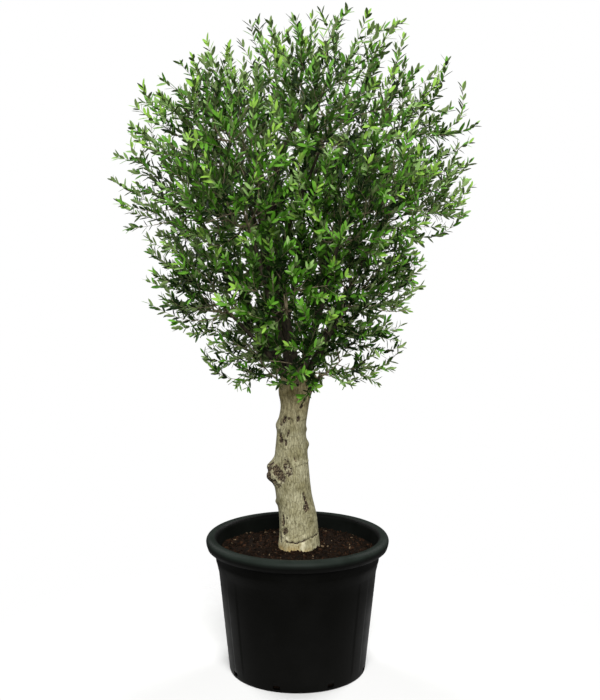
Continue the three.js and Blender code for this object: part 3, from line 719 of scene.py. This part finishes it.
class Course:
    """A smooth curve that is read by share of its length."""

    def __init__(self, spot):
        self.spot = spot
        self.times = np.linspace(0, 1, 201)
        rows = np.array([spot(t) for t in self.times])
        self.lengths = np.concatenate([[0], np.cumsum(norm(np.diff(rows, axis=0), axis=1))])

    def time(self, share):
        return float(np.interp(share * self.lengths[-1], self.lengths, self.times))

    def at(self, share):
        return self.spot(self.time(share))

    def tangent(self, share):
        t = self.time(share)
        return unit(self.spot(min(t + 1e-4, 1)) - self.spot(max(t - 1e-4, 0)))


def through(points):
    """The smooth curve through some points, by the rule of the source's own curve."""
    points = np.array(points, float)
    padded = [2 * points[0] - points[1], *points, 2 * points[-1] - points[-2]]

    def spot(t):
        place = t * (len(points) - 1)
        i = min(int(place), len(points) - 2)
        w = place - i
        before, a, b, after = padded[i : i + 4]
        lead, trail = 0.5 * (b - before), 0.5 * (after - a)
        square, cube = -3 * a + 3 * b - 2 * lead - trail, 2 * a - 2 * b + lead + trail
        return a + lead * w + square * w**2 + cube * w**3

    return Course(spot)


def bezier(a, b, c, d):
    return Course(lambda t: a * (1 - t) ** 3 + 3 * b * t * (1 - t) ** 2 + 3 * c * t * t * (1 - t) + d * t**3)


# The trunk's height, lean and plain radius along its run of stations.
TRUNK_COURSE = through(TRUNK_STATIONS)
TRUNK_RUN = np.array([TRUNK_COURSE.spot(share) for share in np.linspace(0, 1, 241)])
TRUNK_HEIGHTS, TRUNK_LEANS, TRUNK_RADII = (TRUNK_RUN / [1, 1, 2]).T


# ---- Trunk ----

# Scars in the bark: height, bearing, half height, half width, depth, how dark, and the lean to the right
# in degrees.
SCARS = [
    (910, 226, 17, 12, 4, 0.8, 10), (898, 214, 10, 14, 3, 0.7, 60), (848, 222, 10, 22, 4, 0.95, 70),
    (866, 254, 15, 4, 3, 0.85, 15), (836, 246, 6, 12, 3, 0.8, 80), (919, 251, 6, 7, 3, 0.9, 0),
    (919, 290, 7, 12, 3, 0.95, 80), (962, 296, 9, 7, 3, 0.9, 20), (984, 306, 18, 6, 3, 0.9, 35),
    (774, 283, 13, 3.5, 2, 0.8, -20), (620, 309, 38, 6, 4, 0.95, -8), (600, 303, 17, 9, 4, 0.95, 10),
    (559, 225, 19, 6, 3, 0.95, -6), (542, 222, 12, 6, 3, 0.95, 8), (518, 231, 13, 12, 3, 0.9, 40),
    (566, 238, 4, 4, 2, 0.8, 0), (490, 210, 22, 10, 3, 0.6, 0), (742, 256, 17, 36, 2, 0.6, 58),
    (764, 252, 9, 24, 2, 0.52, 70), (712, 236, 18, 15, 2, 0.7, 30), (710, 60, 26, 12, 4, 0.8, 10),
    (870, 110, 18, 10, 4, 0.8, -15), (610, 130, 30, 8, 4, 0.9, 5),
]
# Cracks that run round the trunk: bearings and heights from end to end, half width, depth, how dark.
CRACKS = [
    ((232, 250, 262, 275, 286, 300, 316, 345), (478, 480, 477, 483, 487, 489, 494, 502), 3.4, 3.6, 1.0),
    ((245, 258, 268, 280, 294), (494, 499, 502, 507, 511), 1.5, 1.8, 0.7),
    ((205, 222, 238, 250, 262, 274, 286, 305, 350), (674, 682, 704, 722, 738, 745, 749, 755, 757),
     2.0, 2.4, 0.7),
    ((262, 300, 340), (906, 909, 912), 1.2, 1.2, 0.45),
    ((232, 270, 312), (622, 624, 629), 1.2, 1.2, 0.4),
    ((240, 290, 325), (545, 547, 550), 1.1, 1.2, 0.3),
    ((60, 100, 150), (570, 576, 570), 1.6, 1.8, 0.5),
    ((20, 80, 140), (770, 778, 762), 1.6, 1.8, 0.5),
]
# Pale, scaly scar tissue: height, bearing, half height, half width, lean to the right in degrees.
PALE_PATCHES = [
    (736, 258, 14, 34, 62), (700, 236, 24, 10, 30), (466, 285, 12, 60, 85), (492, 235, 14, 24, 60),
]
BURL = (717, 200, 54, 56)  # the big burl's knobbly skin: height, bearing, half height, half width
TRUNK_AROUND = 180
TRUNK_RINGS = 280
ROUGH_HEAD = (890, 1010)  # heights over which the bark splits more deeply,
BROWN_HEAD = (870, 1000)  # turns brown,
SHADED_HEAD = (940, 1030)  # and is dark in the fold at that bearing
SHADED_FOLD = 345
OCHRE_SIDE = 215  # bearing of the foot's ochre side
FOOT_FADE = 20  # how fast the ochre fades upwards


def turned_by(bearing, degrees):
    """How far a bearing in radians is from another in degrees, the short way round, in radians."""
    off = bearing - math.radians(degrees)
    return np.arctan2(np.sin(off), np.cos(off))


def bark_radius(plain, height, bearing):
    """Radius of the trunk's skin with its flare, lobes and burls, as in the source."""
    above = height - SOIL_LEVEL
    flare = ROOT_FLARE * np.exp(-above / ROOT_FLARE_HEIGHT)
    lobes = LOBE_DEPTH * np.cos(TRUNK_LOBES * bearing + above / LOBE_PITCH)
    radius = plain * (1 + flare + lobes)
    for at, facing, proud, spread in BURLS:
        around = plain * turned_by(bearing, facing)
        radius = radius + proud * np.exp(-((np.hypot(height - at, around) / spread) ** 2))
    return radius


def patch_depth(skin, plain, bearing, patch, tilt=0):
    """How far inside a ragged oval patch each corner of the trunk lies: 1 in its middle, 0 at its edge."""
    at, facing, tall, wide = patch
    up, side = skin[:, 2] - at, plain * turned_by(bearing, facing)
    turn = math.radians(tilt)
    along = up * math.cos(turn) + side * math.sin(turn)
    across = side * math.cos(turn) - up * math.sin(turn)
    ragged = 1 + 0.5 * rough(skin + 40, 9, 3)
    return 1 - np.hypot(along / tall, across / wide) / ragged


def dressed_bark(plain, height, bearing):
    """The radius of the trunk's skin with all its relief, and the marks that its bark's look goes by."""
    radius = bark_radius(plain, height, bearing)
    skin = np.column_stack([plain * np.cos(bearing), plain * np.sin(bearing), height])
    upper = ramp(height, ROUGH_HEAD)
    fissured = rough(skin * [1, 1, 0.2], 9, 3)
    radius += 2.2 * rough(skin, 90, 2) + (0.4 + 1.4 * upper) * np.minimum(fissured, 0.15)
    scars_and_fold_shade = [0.8 * upper * capped(-fissured * 2.5 - 0.55)]
    burl = capped(2.2 * patch_depth(skin, plain, bearing, BURL))
    knobs = rough(skin + 300, 16, 3)
    radius += burl * (8 * knobs - 1)
    scars_and_fold_shade.append(burl * capped(1.35 - 2.4 * knobs))
    pales = [burl * capped(3 * knobs - 1.6)]
    lumps = rough(skin + 70, 12, 3)
    for *patch, tilt in PALE_PATCHES:
        cover = capped(1.6 * patch_depth(skin, plain, bearing, patch, tilt))
        radius += 2.2 * cover * lumps
        pales.append(0.8 * cover * capped(0.6 + 1.3 * lumps))
        scars_and_fold_shade.append(cover * capped(-0.35 - 2.2 * lumps))
    for *patch, depth, dark, tilt in SCARS:
        inside = patch_depth(skin, plain, bearing, patch, tilt)
        cover = capped(2.4 * inside + 0.3)
        radius -= depth * cover
        radius += 0.5 * depth * np.exp(-(((inside + 0.4) / 0.3) ** 2))
        scars_and_fold_shade.append(dark * cover)
    where = np.degrees(bearing) % 360
    for bearings, heights, wide, depth, dark in CRACKS:
        above = height - np.interp(where, bearings, heights) - 3.5 * patchy(skin, 9) - 1.5 * patchy(skin, 4)
        inside = (where > bearings[0]) & (where < bearings[-1])
        cover = np.exp(-((above / wide) ** 2)) * inside
        lip = np.exp(-(((above - 3 * wide) / (2.5 * wide)) ** 2)) * inside
        radius += 0.6 * depth * lip - depth * cover
        scars_and_fold_shade.append(dark * cover * capped(0.9 + 0.7 * rough(skin, 20, 2)))
    # Painted shade: the head is darkened in its fold at one bearing, on the same mark as the scars.
    fold = capped(1 - np.abs(turned_by(bearing, SHADED_FOLD)) / 0.5)
    scars_and_fold_shade.append(ramp(height, SHADED_HEAD) * fold * capped(0.9 + rough(skin, 24, 2)))
    brown = ramp(height, BROWN_HEAD) * (0.75 + 0.3 * rough(skin, 40, 2))
    foot = np.exp(-(height - SOIL_LEVEL) / FOOT_FADE)
    side = capped(0.3 + 1.2 * np.cos(turned_by(bearing, OCHRE_SIDE)))
    ochre = 0.75 * foot * side * capped(0.7 + rough(skin + 20, 16, 3))
    marks = {"scar_and_fold_shade": np.max(scars_and_fold_shade, axis=0), "brown": brown, "pale": np.max(pales, axis=0), "ochre": ochre}
    return radius, marks


def build_trunk():
    bm = bmesh.new()
    bmesh.ops.create_cone(bm, cap_ends=True, segments=TRUNK_AROUND, radius1=1, radius2=1, depth=1)
    upright = [e for e in bm.edges if abs(e.verts[0].co.z - e.verts[1].co.z) > 0.5]
    bmesh.ops.subdivide_edges(bm, edges=upright, cuts=TRUNK_RINGS - 1, use_grid_fill=True)
    x, y, z = spots_of(bm).T
    share = z + 0.5
    run = np.linspace(0, 1, len(TRUNK_RUN))
    stations = (TRUNK_HEIGHTS, TRUNK_LEANS, TRUNK_RADII)
    height, lean, plain = [np.interp(share, run, column) for column in stations]
    bearing = np.arctan2(y, x)
    radius, marks = dressed_bark(plain, height, bearing)
    # The lowest ring is in the soil, where the skin keeps to the source's.
    buried = share < 0.02
    radius = np.where(buried, np.minimum(radius, bark_radius(plain, height, bearing) + 1), radius)
    radius *= np.hypot(x, y)
    move_to(bm, np.column_stack([lean + radius * np.cos(bearing), radius * np.sin(bearing), height]))
    mesh = mesh_from("trunk", bm)
    for name, values in marks.items():
        mark(mesh, name, values)
    piece_of("trunk_bark", mesh, [OLD_BARK], ["trunk"])


# ---- Masses of foliage: where each has its space ----


def lay_out_masses():
    masses = []
    for name, z, ring, shift, count, bearing, wide, tall, drop, bough, origin in TIERS:
        for i in range(count):
            out = heading(bearing + 360 * i / count)
            middle = out * ring + [shift, 0, z - (i % 2) * drop]
            mass = SimpleNamespace(tier=name, number=i + 1, count=count, seed=len(masses) + 1)
            mass.out, mass.middle, mass.wide, mass.tall = out, middle, wide, tall
            mass.bough, mass.origin = bough, origin
            masses.append(mass)
    return masses


MASSES = lay_out_masses()
MIDDLES = np.array([m.middle for m in MASSES])
WEIGHTS = np.array([m.wide * m.tall for m in MASSES])


def skin_depth(mass, rows):
    """How deep rows lie under the skin of a mass's own ellipsoid."""
    own = (rows - mass.middle) / [mass.wide, mass.wide, mass.tall]
    return (1 - norm(own, axis=1)) * min(mass.wide, mass.tall)


def side_depth(mass, rows):
    """How far rows are from the planes that part the space of a mass from the others'."""
    depth = np.full(len(rows), np.inf)
    own = ((rows - mass.middle) ** 2).sum(1) - mass.wide * mass.tall
    for other, middle, weight in zip(MASSES, MIDDLES, WEIGHTS):
        if other is not mass:
            lead = ((rows - middle) ** 2).sum(1) - weight - own
            depth = np.minimum(depth, lead / (2 * norm(mass.middle - middle)) - CELL_GAP)
    return depth


def crown_depth(rows):
    """How deep rows lie under the skin of the whole crown, where the masses' ellipsoids blend."""
    depths = np.array([skin_depth(mass, rows) for mass in MASSES])
    return SKIN_BLEND * np.log(np.exp(np.clip(depths / SKIN_BLEND, -30, 30)).sum(0))


def depth_inside(mass, rows):
    """How deep rows lie inside the space of a mass: its ellipsoid, up to the planes to the others."""
    return np.minimum(skin_depth(mass, rows), side_depth(mass, rows))


def door_of(mass, start):
    """Where a limb that comes from a point enters the space of a mass."""
    way = mass.middle - start
    length = norm(way)
    steps = np.arange(0, length + MARCH_STEP, MARCH_STEP)
    rows = start + np.outer(steps, way / length)
    inside = np.nonzero(depth_inside(mass, rows) >= 0)[0]
    return rows[inside[0]] if len(inside) else rows[-1]


def bough_course(start, door, mass):
    span = norm(door - start)
    away = unit((door - start) * [1, 1, 0])
    leave = unit(away * BOUGH_LEAVE[0] + UP * BOUGH_LEAVE[1])
    enter = unit(mass.middle - door)
    return bezier(start, start + leave * span * BOUGH_SWING, door - enter * span * BOUGH_SWING, door)


def lay_out_limbs():
    """The leader and the boughs, each with its course, widths and the mass that it carries."""
    top = next(m for m in MASSES if m.tier == "top")
    leader = through([*LEADER_COURSE[:-1], door_of(top, np.array(LEADER_COURSE[-1], float))])
    limbs = [("leader", leader, LEADER_WIDTH / 2, LEADER_TIP_WIDTH / 2, top)]
    for mass in MASSES:
        if mass is top:
            continue
        origin = mass.origin
        if isinstance(origin, tuple):
            first, last = origin
            start = leader.at(first + (last - first) * (mass.number - 1) / mass.count)
        else:
            lean = float(np.interp(origin, TRUNK_HEIGHTS, TRUNK_LEANS))
            start = np.array([lean, 0, origin]) + mass.out * BOUGH_SUNK
        course = bough_course(start, door_of(mass, start), mass)
        name = f"bough_{mass.tier}_{mass.number}"
        limbs.append((name, course, mass.bough / 2, mass.bough / 2 * BOUGH_TIP_SHARE, mass))
    return limbs


LIMBS = lay_out_limbs()


def tubes(courses, radii, sides):
    """Closed tapering tubes along rows of points. courses is (tubes, rings, 3) and radii (tubes, rings)."""
    count, rings, _ = courses.shape
    tangents = unit(np.gradient(courses, axis=1))
    mean = unit(courses[:, -1] - courses[:, 0])
    least = np.eye(3)[np.argmin(np.abs(mean), axis=1)]
    normal = unit(np.cross(tangents, least[:, None]))
    other = np.cross(tangents, normal)
    turns = (np.arange(sides) * math.tau / sides)[:, None]
    ring = np.cos(turns) * normal[:, :, None] + np.sin(turns) * other[:, :, None]
    skin = courses[:, :, None] + ring * radii[:, :, None, None]
    rows = skin.reshape(count, rings * sides, 3)
    rows = np.concatenate([rows, courses[:, :1], courses[:, -1:]], axis=1)
    faces = []
    for r in range(rings - 1):
        for s in range(sides):
            a, b = r * sides + s, r * sides + (s + 1) % sides
            faces += [(a, b, b + sides), (a, b + sides, a + sides)]
    foot, tip = rings * sides, rings * sides + 1
    for s in range(sides):
        nxt = (s + 1) % sides
        faces += [(foot, nxt, s), (tip, (rings - 1) * sides + s, (rings - 1) * sides + nxt)]
    return rows, np.array(faces)


def build_limbs():
    """The leader and boughs with slight swellings, in one piece."""
    rings, sides = 48, 14
    shares = np.linspace(0, 1, rings)
    courses = np.array([[course.at(s) for s in shares] for _, course, _, _, _ in LIMBS])
    radii = np.array([foot + (tip - foot) * shares for _, _, foot, tip, _ in LIMBS])
    flat = courses.reshape(-1, 3)
    radii = radii * (0.97 + 0.07 * rough(flat, 60, 2).reshape(radii.shape))
    rows, faces = tubes(courses, radii, sides)
    skin = rows[:, :-2]
    out = unit(skin - np.repeat(courses, sides, axis=1))
    relief = rough(skin.reshape(-1, 3) * [1, 1, 0.4], 12, 3).reshape(out.shape[:2])
    skin += out * (relief * 0.9)[..., None]
    mesh = mesh_of_arrays("limbs", rows.reshape(-1, 3), stamped(faces, rows.shape[1], len(rows)))
    piece_of("boughs_bark", mesh, [BOUGH_BARK_SHADED], [name for name, *_ in LIMBS])


# ---- Twigs ----


def strewn_spots(mass, count, stretch=1):
    """Spots strewn evenly through the ellipsoid of a mass, which can be stretched all round."""
    down, turn, out = ((np.arange(1, count + 1)[:, None] * STREW_STEPS) % 1).T
    rise = 1 - 2 * down
    reach = np.cbrt(out) * stretch
    level = np.sqrt(1 - rise * rise) * reach * mass.wide
    turn = math.tau * turn
    height = rise * reach * mass.tall
    return mass.middle + np.column_stack([level * np.cos(turn), level * np.sin(turn), height])


def farthest_first(spots, ends, limit, spacing):
    """Adds to the ends, each time, the spot that is farthest from them all for its own spacing."""
    room = np.min(norm(spots[:, None] - np.array(ends)[None], axis=2), axis=1) / spacing
    while len(ends) < limit and room.max() > 1:
        ends.append(spots[room.argmax()])
        room = np.minimum(room, norm(spots - ends[-1], axis=1) / spacing)
    return ends


def fine_ends(mass, main):
    """The ends of the finer twigs of a mass, in clumps, and sparse at the skin and where it is open."""
    rows = strewn_spots(mass, FINE_SPOTS, FINE_STRETCH)
    skin = crown_depth(rows)
    skin_room, skin_openness = FINE_SKIN[mass.tier]
    keep = (skin > skin_room) & (side_depth(mass, rows) > FINE_SIDE_ROOM)
    keep &= ((rows > BOX[0] + BOX_ROOM) & (rows < BOX[1] - BOX_ROOM)).all(axis=1)
    keep &= (rows[:, 2] > HEAD_ROOM[0]) | (np.hypot(rows[:, 0], rows[:, 1]) > HEAD_ROOM[1])
    rows, skin = rows[keep], skin[keep]
    size, pull = CLUMPING
    openness = 1 + skin_openness * capped(1 - skin / SKIN_DEPTH)
    for more, across, up in OPEN_PLACES:
        openness += more * ramp(rows[:, 0], across) * ramp(rows[:, 2], up)
    spacing = FINE_SPACING * openness * (1 + pull * patchy(rows, size))
    return farthest_first(rows, list(main), FINE_MOST, spacing)[len(main):]


def outmost_end(mass):
    """The end under the outermost tip of a mass."""
    way = unit(mass.middle - CROWN_HEART)
    rows = mass.middle + np.outer(np.arange(0, 400, MARCH_STEP), way)
    inside = depth_inside(mass, rows) > MARCH_STEP
    last = rows[np.argmin(inside)] if not inside.all() else rows[-1]
    return last - way * (LEAF_LENGTH[1] * 0.8)


def growth_way(rows):
    """The way that shoots like to grow: outwards from the crown's heart, and up."""
    out = unit(rows - CROWN_HEART)
    return unit(out + UP * GROWTH_LIFT)


class Twig:
    """A twig on a curve from a bud of its parent to its end."""

    def __init__(self, start, leaving, end, parent, main):
        self.parent, self.main, self.carries = parent, main, 0
        span = norm(end - start)
        straight = unit(end - start)
        bend = unit(straight + leaving * TWIG_LEAVE)
        self.points = (start, start + (bend * 0.5 - UP * TWIG_SAG) * span, end)
        self.length = span * TWIG_LENGTH

    def at(self, t):
        a, b, c = self.points
        t = np.asarray(t, float)[..., None]
        return a * (1 - t) ** 2 + 2 * b * t * (1 - t) + c * t * t

    def way(self, t):
        a, b, c = self.points
        t = np.asarray(t, float)[..., None]
        return unit((b - a) * (1 - t) + (c - b) * t)


def grow_twigs(mass, course):
    """A mass's twigs: a stem, the main twigs to the source's ends, then finer ones between them. Each
    forks from the free bud from which its own way is short and the way back to the limb isn't long."""
    door, inward = course.at(1), course.tangent(1)
    stem = Twig(door, inward, door + inward * STEM_SHARE * norm(mass.middle - door), None, True)
    stem.carries = 1
    twigs, owners = [stem], []
    buds = np.zeros((0, 7))  # place, way and trail back to the limb

    def bud_along(twig, trail):
        nonlocal buds
        along = np.arange(FINE_BUD_STEP, twig.length, FINE_BUD_STEP)
        share = along / twig.length
        fresh = np.column_stack([twig.at(share), twig.way(share), trail + along])
        owners.extend([twig] * len(along))
        buds = np.concatenate([buds, fresh])

    bud_along(stem, 0)
    spots = strewn_spots(mass, STREWN_SPOTS)
    spots = spots[depth_inside(mass, spots) > END_ROOM]
    main = farthest_first(spots, [outmost_end(mass)], ENDS, END_SPACING)
    for ends, turn_weight in ((main, 0), (fine_ends(mass, main), TURN_WEIGHT)):
        for end in sorted(ends, key=lambda spot: norm(spot - door)):
            apart = norm(buds[:, :3] - end, axis=1)
            straight = (end - buds[:, :3]) / np.maximum(apart, 1)[:, None]
            against = 2 - straight @ growth_way(end) - (straight * buds[:, 3:6]).sum(1)
            cost = apart + TRAIL_WEIGHT * buds[:, 6] + turn_weight * against
            best = int((cost + np.where(apart < BUD_ROOM[0], BUD_ROOM[1], 0)).argmin())
            parent, bud = owners.pop(best), buds[best]
            buds = np.delete(buds, best, axis=0)
            twig = Twig(bud[:3], bud[3:6], end, parent, ends is main)
            below = twig
            while below:
                below.carries += 1
                below = below.parent
            twigs.append(twig)
            bud_along(twig, bud[6])
    return twigs


def twig_rows(twigs, tip_radius):
    """Courses and radii of a mass's twigs, each thicker towards its foot by what it carries."""
    shares = np.linspace(0, 1, TWIG_STEPS + 1)
    courses = np.array([twig.at(shares) for twig in twigs])
    stem = max(twig.carries for twig in twigs)
    power = math.log(max(tip_radius / TWIG_TIP_RADIUS, 1.5)) / math.log(max(stem, 2))
    foot = np.array([TWIG_TIP_RADIUS * twig.carries**power for twig in twigs])
    end = np.maximum(TWIG_TIP_RADIUS * TWIG_TAPER[0], foot * TWIG_TAPER[1])
    return courses, foot[:, None] + (end - foot)[:, None] * shares


# ---- Leaves ----


def leaf_template():
    """One leaf, a unit long and wide: a long oval, folded a little along its rib and bent back towards
    its tip, closed, with the upper faces first. Its corners are the root, the tip, then for each cross
    row its left and right edge, the rib above and the rib below."""
    cross = [(0.15, 0.62), (0.46, 1.0), (0.8, 0.7)]
    fold, keel = 0.15, 0.012

    def lift(t):
        return -0.07 * t * t

    corners = [(0, 0, 0), (0, 1, lift(1))]
    for t, half in cross:
        edge, rib = lift(t) + fold * half * LEAF_RATIO / 2, lift(t)
        corners += [(-half / 2, t, edge), (half / 2, t, edge), (0, t, rib + keel / 2), (0, t, rib - keel / 2)]
    upper, under = [], []
    for side in (0, 1):
        for rib, faces in ((2, upper), (3, under)):
            flip = (side == 1) != (rib == 3)
            path = [(2 + 4 * i + side, 2 + 4 * i + rib) for i in range(len(cross))]
            made = [(0, path[0][1], path[0][0])]
            for (e0, r0), (e1, r1) in zip(path, path[1:]):
                made += [(e0, r0, r1), (e0, r1, e1)]
            made.append((path[-1][0], path[-1][1], 1))
            faces += [face[::-1] for face in made] if flip else made
    return np.array(corners), np.array(upper + under), len(upper)


def leaves_on(twigs, dice):
    """The leaves of a mass in opposite pairs along its shoots: root, way, face and length of each, then
    the number of its twig and how many pairs stand beyond it."""
    leaves = []
    factor, power = PAIR_CROWDING
    for number, twig in enumerate(twigs):
        if twig.carries > LEAFY_MOST:
            continue
        bare = max(0, twig.length - LEAF_REACH) if twig.main else 0
        low = ramp(twig.at(1)[2], LOW_REACH)
        step = PAIR_STEP * dice.uniform(*PAIR_VARIES) * (1 - LOW_STEP * low)
        back = step * factor * np.arange(PAIRS_MOST) ** power
        at = twig.length - back[back < twig.length - max(bare, BARE_FOOT)]
        shares = capped(at / twig.length)
        spots, along = twig.at(shares), twig.way(shares)
        spin = dice.random() * math.pi
        side = unit(np.cross(along, UP + [0.01, 0.02, 0]))
        over = np.cross(side, along)
        open_way = unit(twig.at(1) - CROWN_HEART)
        for k, (spot, way) in enumerate(zip(spots, along)):
            phase = spin + k * math.pi / 2 + dice.normal() * PAIR_TWIST
            out = side[k] * math.cos(phase) + over[k] * math.sin(phase)
            size = (1 - LOW_LEAF * low) * (TIP_SIZE[0] + TIP_SIZE[1] * min(1, (k + 1) / TIP_SIZE[2]))
            spread = TIP_SPREAD[0] + TIP_SPREAD[1] * min(1, TIP_OPENING[0] + TIP_OPENING[1] * k)
            for sign in (1, -1):
                if dice.random() < LEAF_MISSING:
                    continue
                angle = math.radians(dice.uniform(*LEAF_SPREAD)) * spread
                leaf_way = unit(way * math.cos(angle) + out * sign * math.sin(angle) + UP * LEAF_LIFT)
                ahead, upwards, outwards, stray = LEAF_FACING
                normal = way * ahead + UP * upwards + open_way * outwards + dice.normal(size=3) * stray
                normal = unit(normal - leaf_way * (normal @ leaf_way))
                leaves.append((spot, leaf_way, normal, dice.uniform(*LEAF_LENGTH) * size, number, k))
    return [np.array(column) for column in zip(*leaves)]


def dealt_greens(spots, twig_numbers, beyond, dice):
    """The green of each leaf, dealt by spray: the pale greens go to the shoots' young ends and, as painted
    light, near the crown's skin; the deep ones, as painted shade, go deep inside and low in the crown."""
    spray = dice.random(twig_numbers.max() + 1)[twig_numbers]
    # Painted light and shade: nearness to the crown's skin makes a leaf paler, depth under it darker.
    outer = capped(1 - crown_depth(spots) / LIT_SKIN_DEPTH)
    by_spray, skin_light_share, by_tip, by_chance = YOUNG_AND_LIT_SHARES
    young_and_lit = by_spray * spray + skin_light_share * outer + by_tip * np.exp(-beyond / YOUNG_PAIRS)
    young_and_lit = young_and_lit + by_chance * dice.random(len(spots))
    rank = np.argsort(np.argsort(young_and_lit)) / len(young_and_lit)
    # Painted shade: low in the crown the deep greens prevail.
    rank = rank ** np.interp(spots[:, 2], *LOW_CROWN_SHADE)
    return np.searchsorted(np.cumsum([share for _, _, share in LEAF_GREENS][:-1]), rank)


def clear_of_trunk(rows):
    """Whether rows stay off the trunk's skin."""
    lean = np.interp(rows[:, 2], TRUNK_HEIGHTS, TRUNK_LEANS)
    skin = np.interp(rows[:, 2], TRUNK_HEIGHTS, TRUNK_RADII) + TRUNK_ROOM
    return (rows[:, 2] > TRUNK_HEIGHTS[-1] + TRUNK_ROOM) | (np.hypot(rows[:, 0] - lean, rows[:, 1]) > skin)


TEMPLATE, LEAF_FACES, UPPER_FACES = leaf_template()


def leaf_rows(roots, ways, normals, lengths):
    """The corners of all leaves."""
    across = np.cross(ways, normals)
    sides = ((LEAF_RATIO * lengths, across), (lengths, ways), (lengths, normals))
    rows = roots[:, None]
    for shares, (sizes, way) in zip(TEMPLATE.T, sides):
        rows = rows + shares[None, :, None] * sizes[:, None, None] * way[:, None]
    return rows


def foliage_of(mass, course, tip_radius):
    """The twigs of one mass as rows of tubes, its leaves as rows of corners, and the leaves' greens."""
    dice = np.random.default_rng(mass.seed)
    twigs = grow_twigs(mass, course)
    tube_rows, tube_faces = tubes(*twig_rows(twigs, tip_radius), TWIG_SIDES)
    roots, ways, normals, lengths, twig_numbers, beyond = leaves_on(twigs, dice)
    leaves = leaf_rows(roots, ways, normals, lengths)
    tips = leaves[:, 1]
    greens = dealt_greens(tips, twig_numbers, beyond, dice)
    keep = (crown_depth(tips) > LEAF_LIMITS[0]) & (side_depth(mass, tips) > LEAF_LIMITS[1])
    keep &= clear_of_trunk(tips) & clear_of_trunk(roots)
    keep &= ((leaves > BOX[0] + BOX_EDGE) & (leaves < BOX[1] - BOX_EDGE)).all(axis=(1, 2))
    return tube_rows, tube_faces, leaves[keep], greens[keep]


def nodes_of(parts):
    """The source's nodes of some grown masses."""
    return [f"foliage_{mass.tier}_{mass.number}" for mass, *_ in parts]


def build_foliage():
    """All masses of foliage. The twigs of a tier are one piece. Its leaves are one piece too, or two on a
    ring of masses: those at the front and those at the back."""
    for tier, *_ in TIERS:
        grown = {}
        for _, course, _, tip_radius, mass in LIMBS:
            if mass.tier == tier:
                half = "" if mass.count == 1 else "_front" if mass.middle[1] < -1 else "_back"
                grown.setdefault(half, []).append((mass, *foliage_of(mass, course, tip_radius)))
        every = [part for half in grown.values() for part in half]
        rows = np.concatenate([part[1] for part in every])
        mesh = mesh_of_arrays("twigs", rows.reshape(-1, 3), stamped(every[0][2], rows.shape[1], len(rows)))
        piece_of(f"twigs_{tier}", mesh, [TWIG_BARK], nodes_of(every))
        for half, parts in grown.items():
            leaves = np.concatenate([part[3] for part in parts])
            greens = np.concatenate([part[4] for part in parts])
            slots = np.repeat(greens[:, None], len(LEAF_FACES), axis=1)
            slots[:, UPPER_FACES:] = len(LEAF_GREENS)
            faces = stamped(LEAF_FACES, len(TEMPLATE), len(leaves))
            mesh = mesh_of_arrays("leaves", leaves.reshape(-1, 3), faces, slots.ravel())
            piece_of(f"leaves_{tier}{half}", mesh, LEAVES, nodes_of(parts), smooth=False)


# ---- Floor and light ----

FLOOR_RADIUS = 2000
SOFT_LIGHT = 0.09  # strength of the even light from all round
WHITE = (1, 1, 1, 1)
LIGHT_SOFTNESS = 38  # degrees that each lamp spans
# Lamps: name, strength, degrees above the floor and degrees to the right of the camera.
LAMPS = [
    ("key", 5.4, 34, 4),
    ("back_right", 1.9, 38, 128),
    ("back_left", 1.9, 38, 232),
]


def build_studio():
    bm = bmesh.new()
    bmesh.ops.create_circle(bm, cap_ends=True, segments=96, radius=FLOOR_RADIUS)
    floor = bpy.data.objects.new("floor", mesh_from("floor", bm))
    floor.data.materials.append(FLOOR)
    SCENE.collection.objects.link(floor)
    world = bpy.data.worlds.new("studio")
    world.use_nodes = True
    SCENE.world = world
    tree = world.node_tree
    soft, backdrop = tree.nodes["Background"], add(tree, "Background", {"Color": WHITE})
    feed(soft, {"Strength": SOFT_LIGHT, "Color": WHITE})
    rays = add(tree, "LightPath").outputs["Is Camera Ray"]
    both = add(tree, "MixShader", {0: rays, 1: soft, 2: backdrop})
    feed(tree.nodes["World Output"], {"Surface": both})
    for name, strength, rise, turn in LAMPS:
        lamp = bpy.data.lights.new(name, "SUN")
        lamp.energy, lamp.angle = strength, math.radians(LIGHT_SOFTNESS)
        holder = bpy.data.objects.new(name, lamp)
        SCENE.collection.objects.link(holder)
        holder.rotation_euler = (math.radians(90 - rise), 0, math.radians(turn))
    SCENE.view_settings.view_transform = "Standard"


build_pot()
build_soil()
build_crumbs()
build_trunk()
build_limbs()
build_foliage()
build_studio()
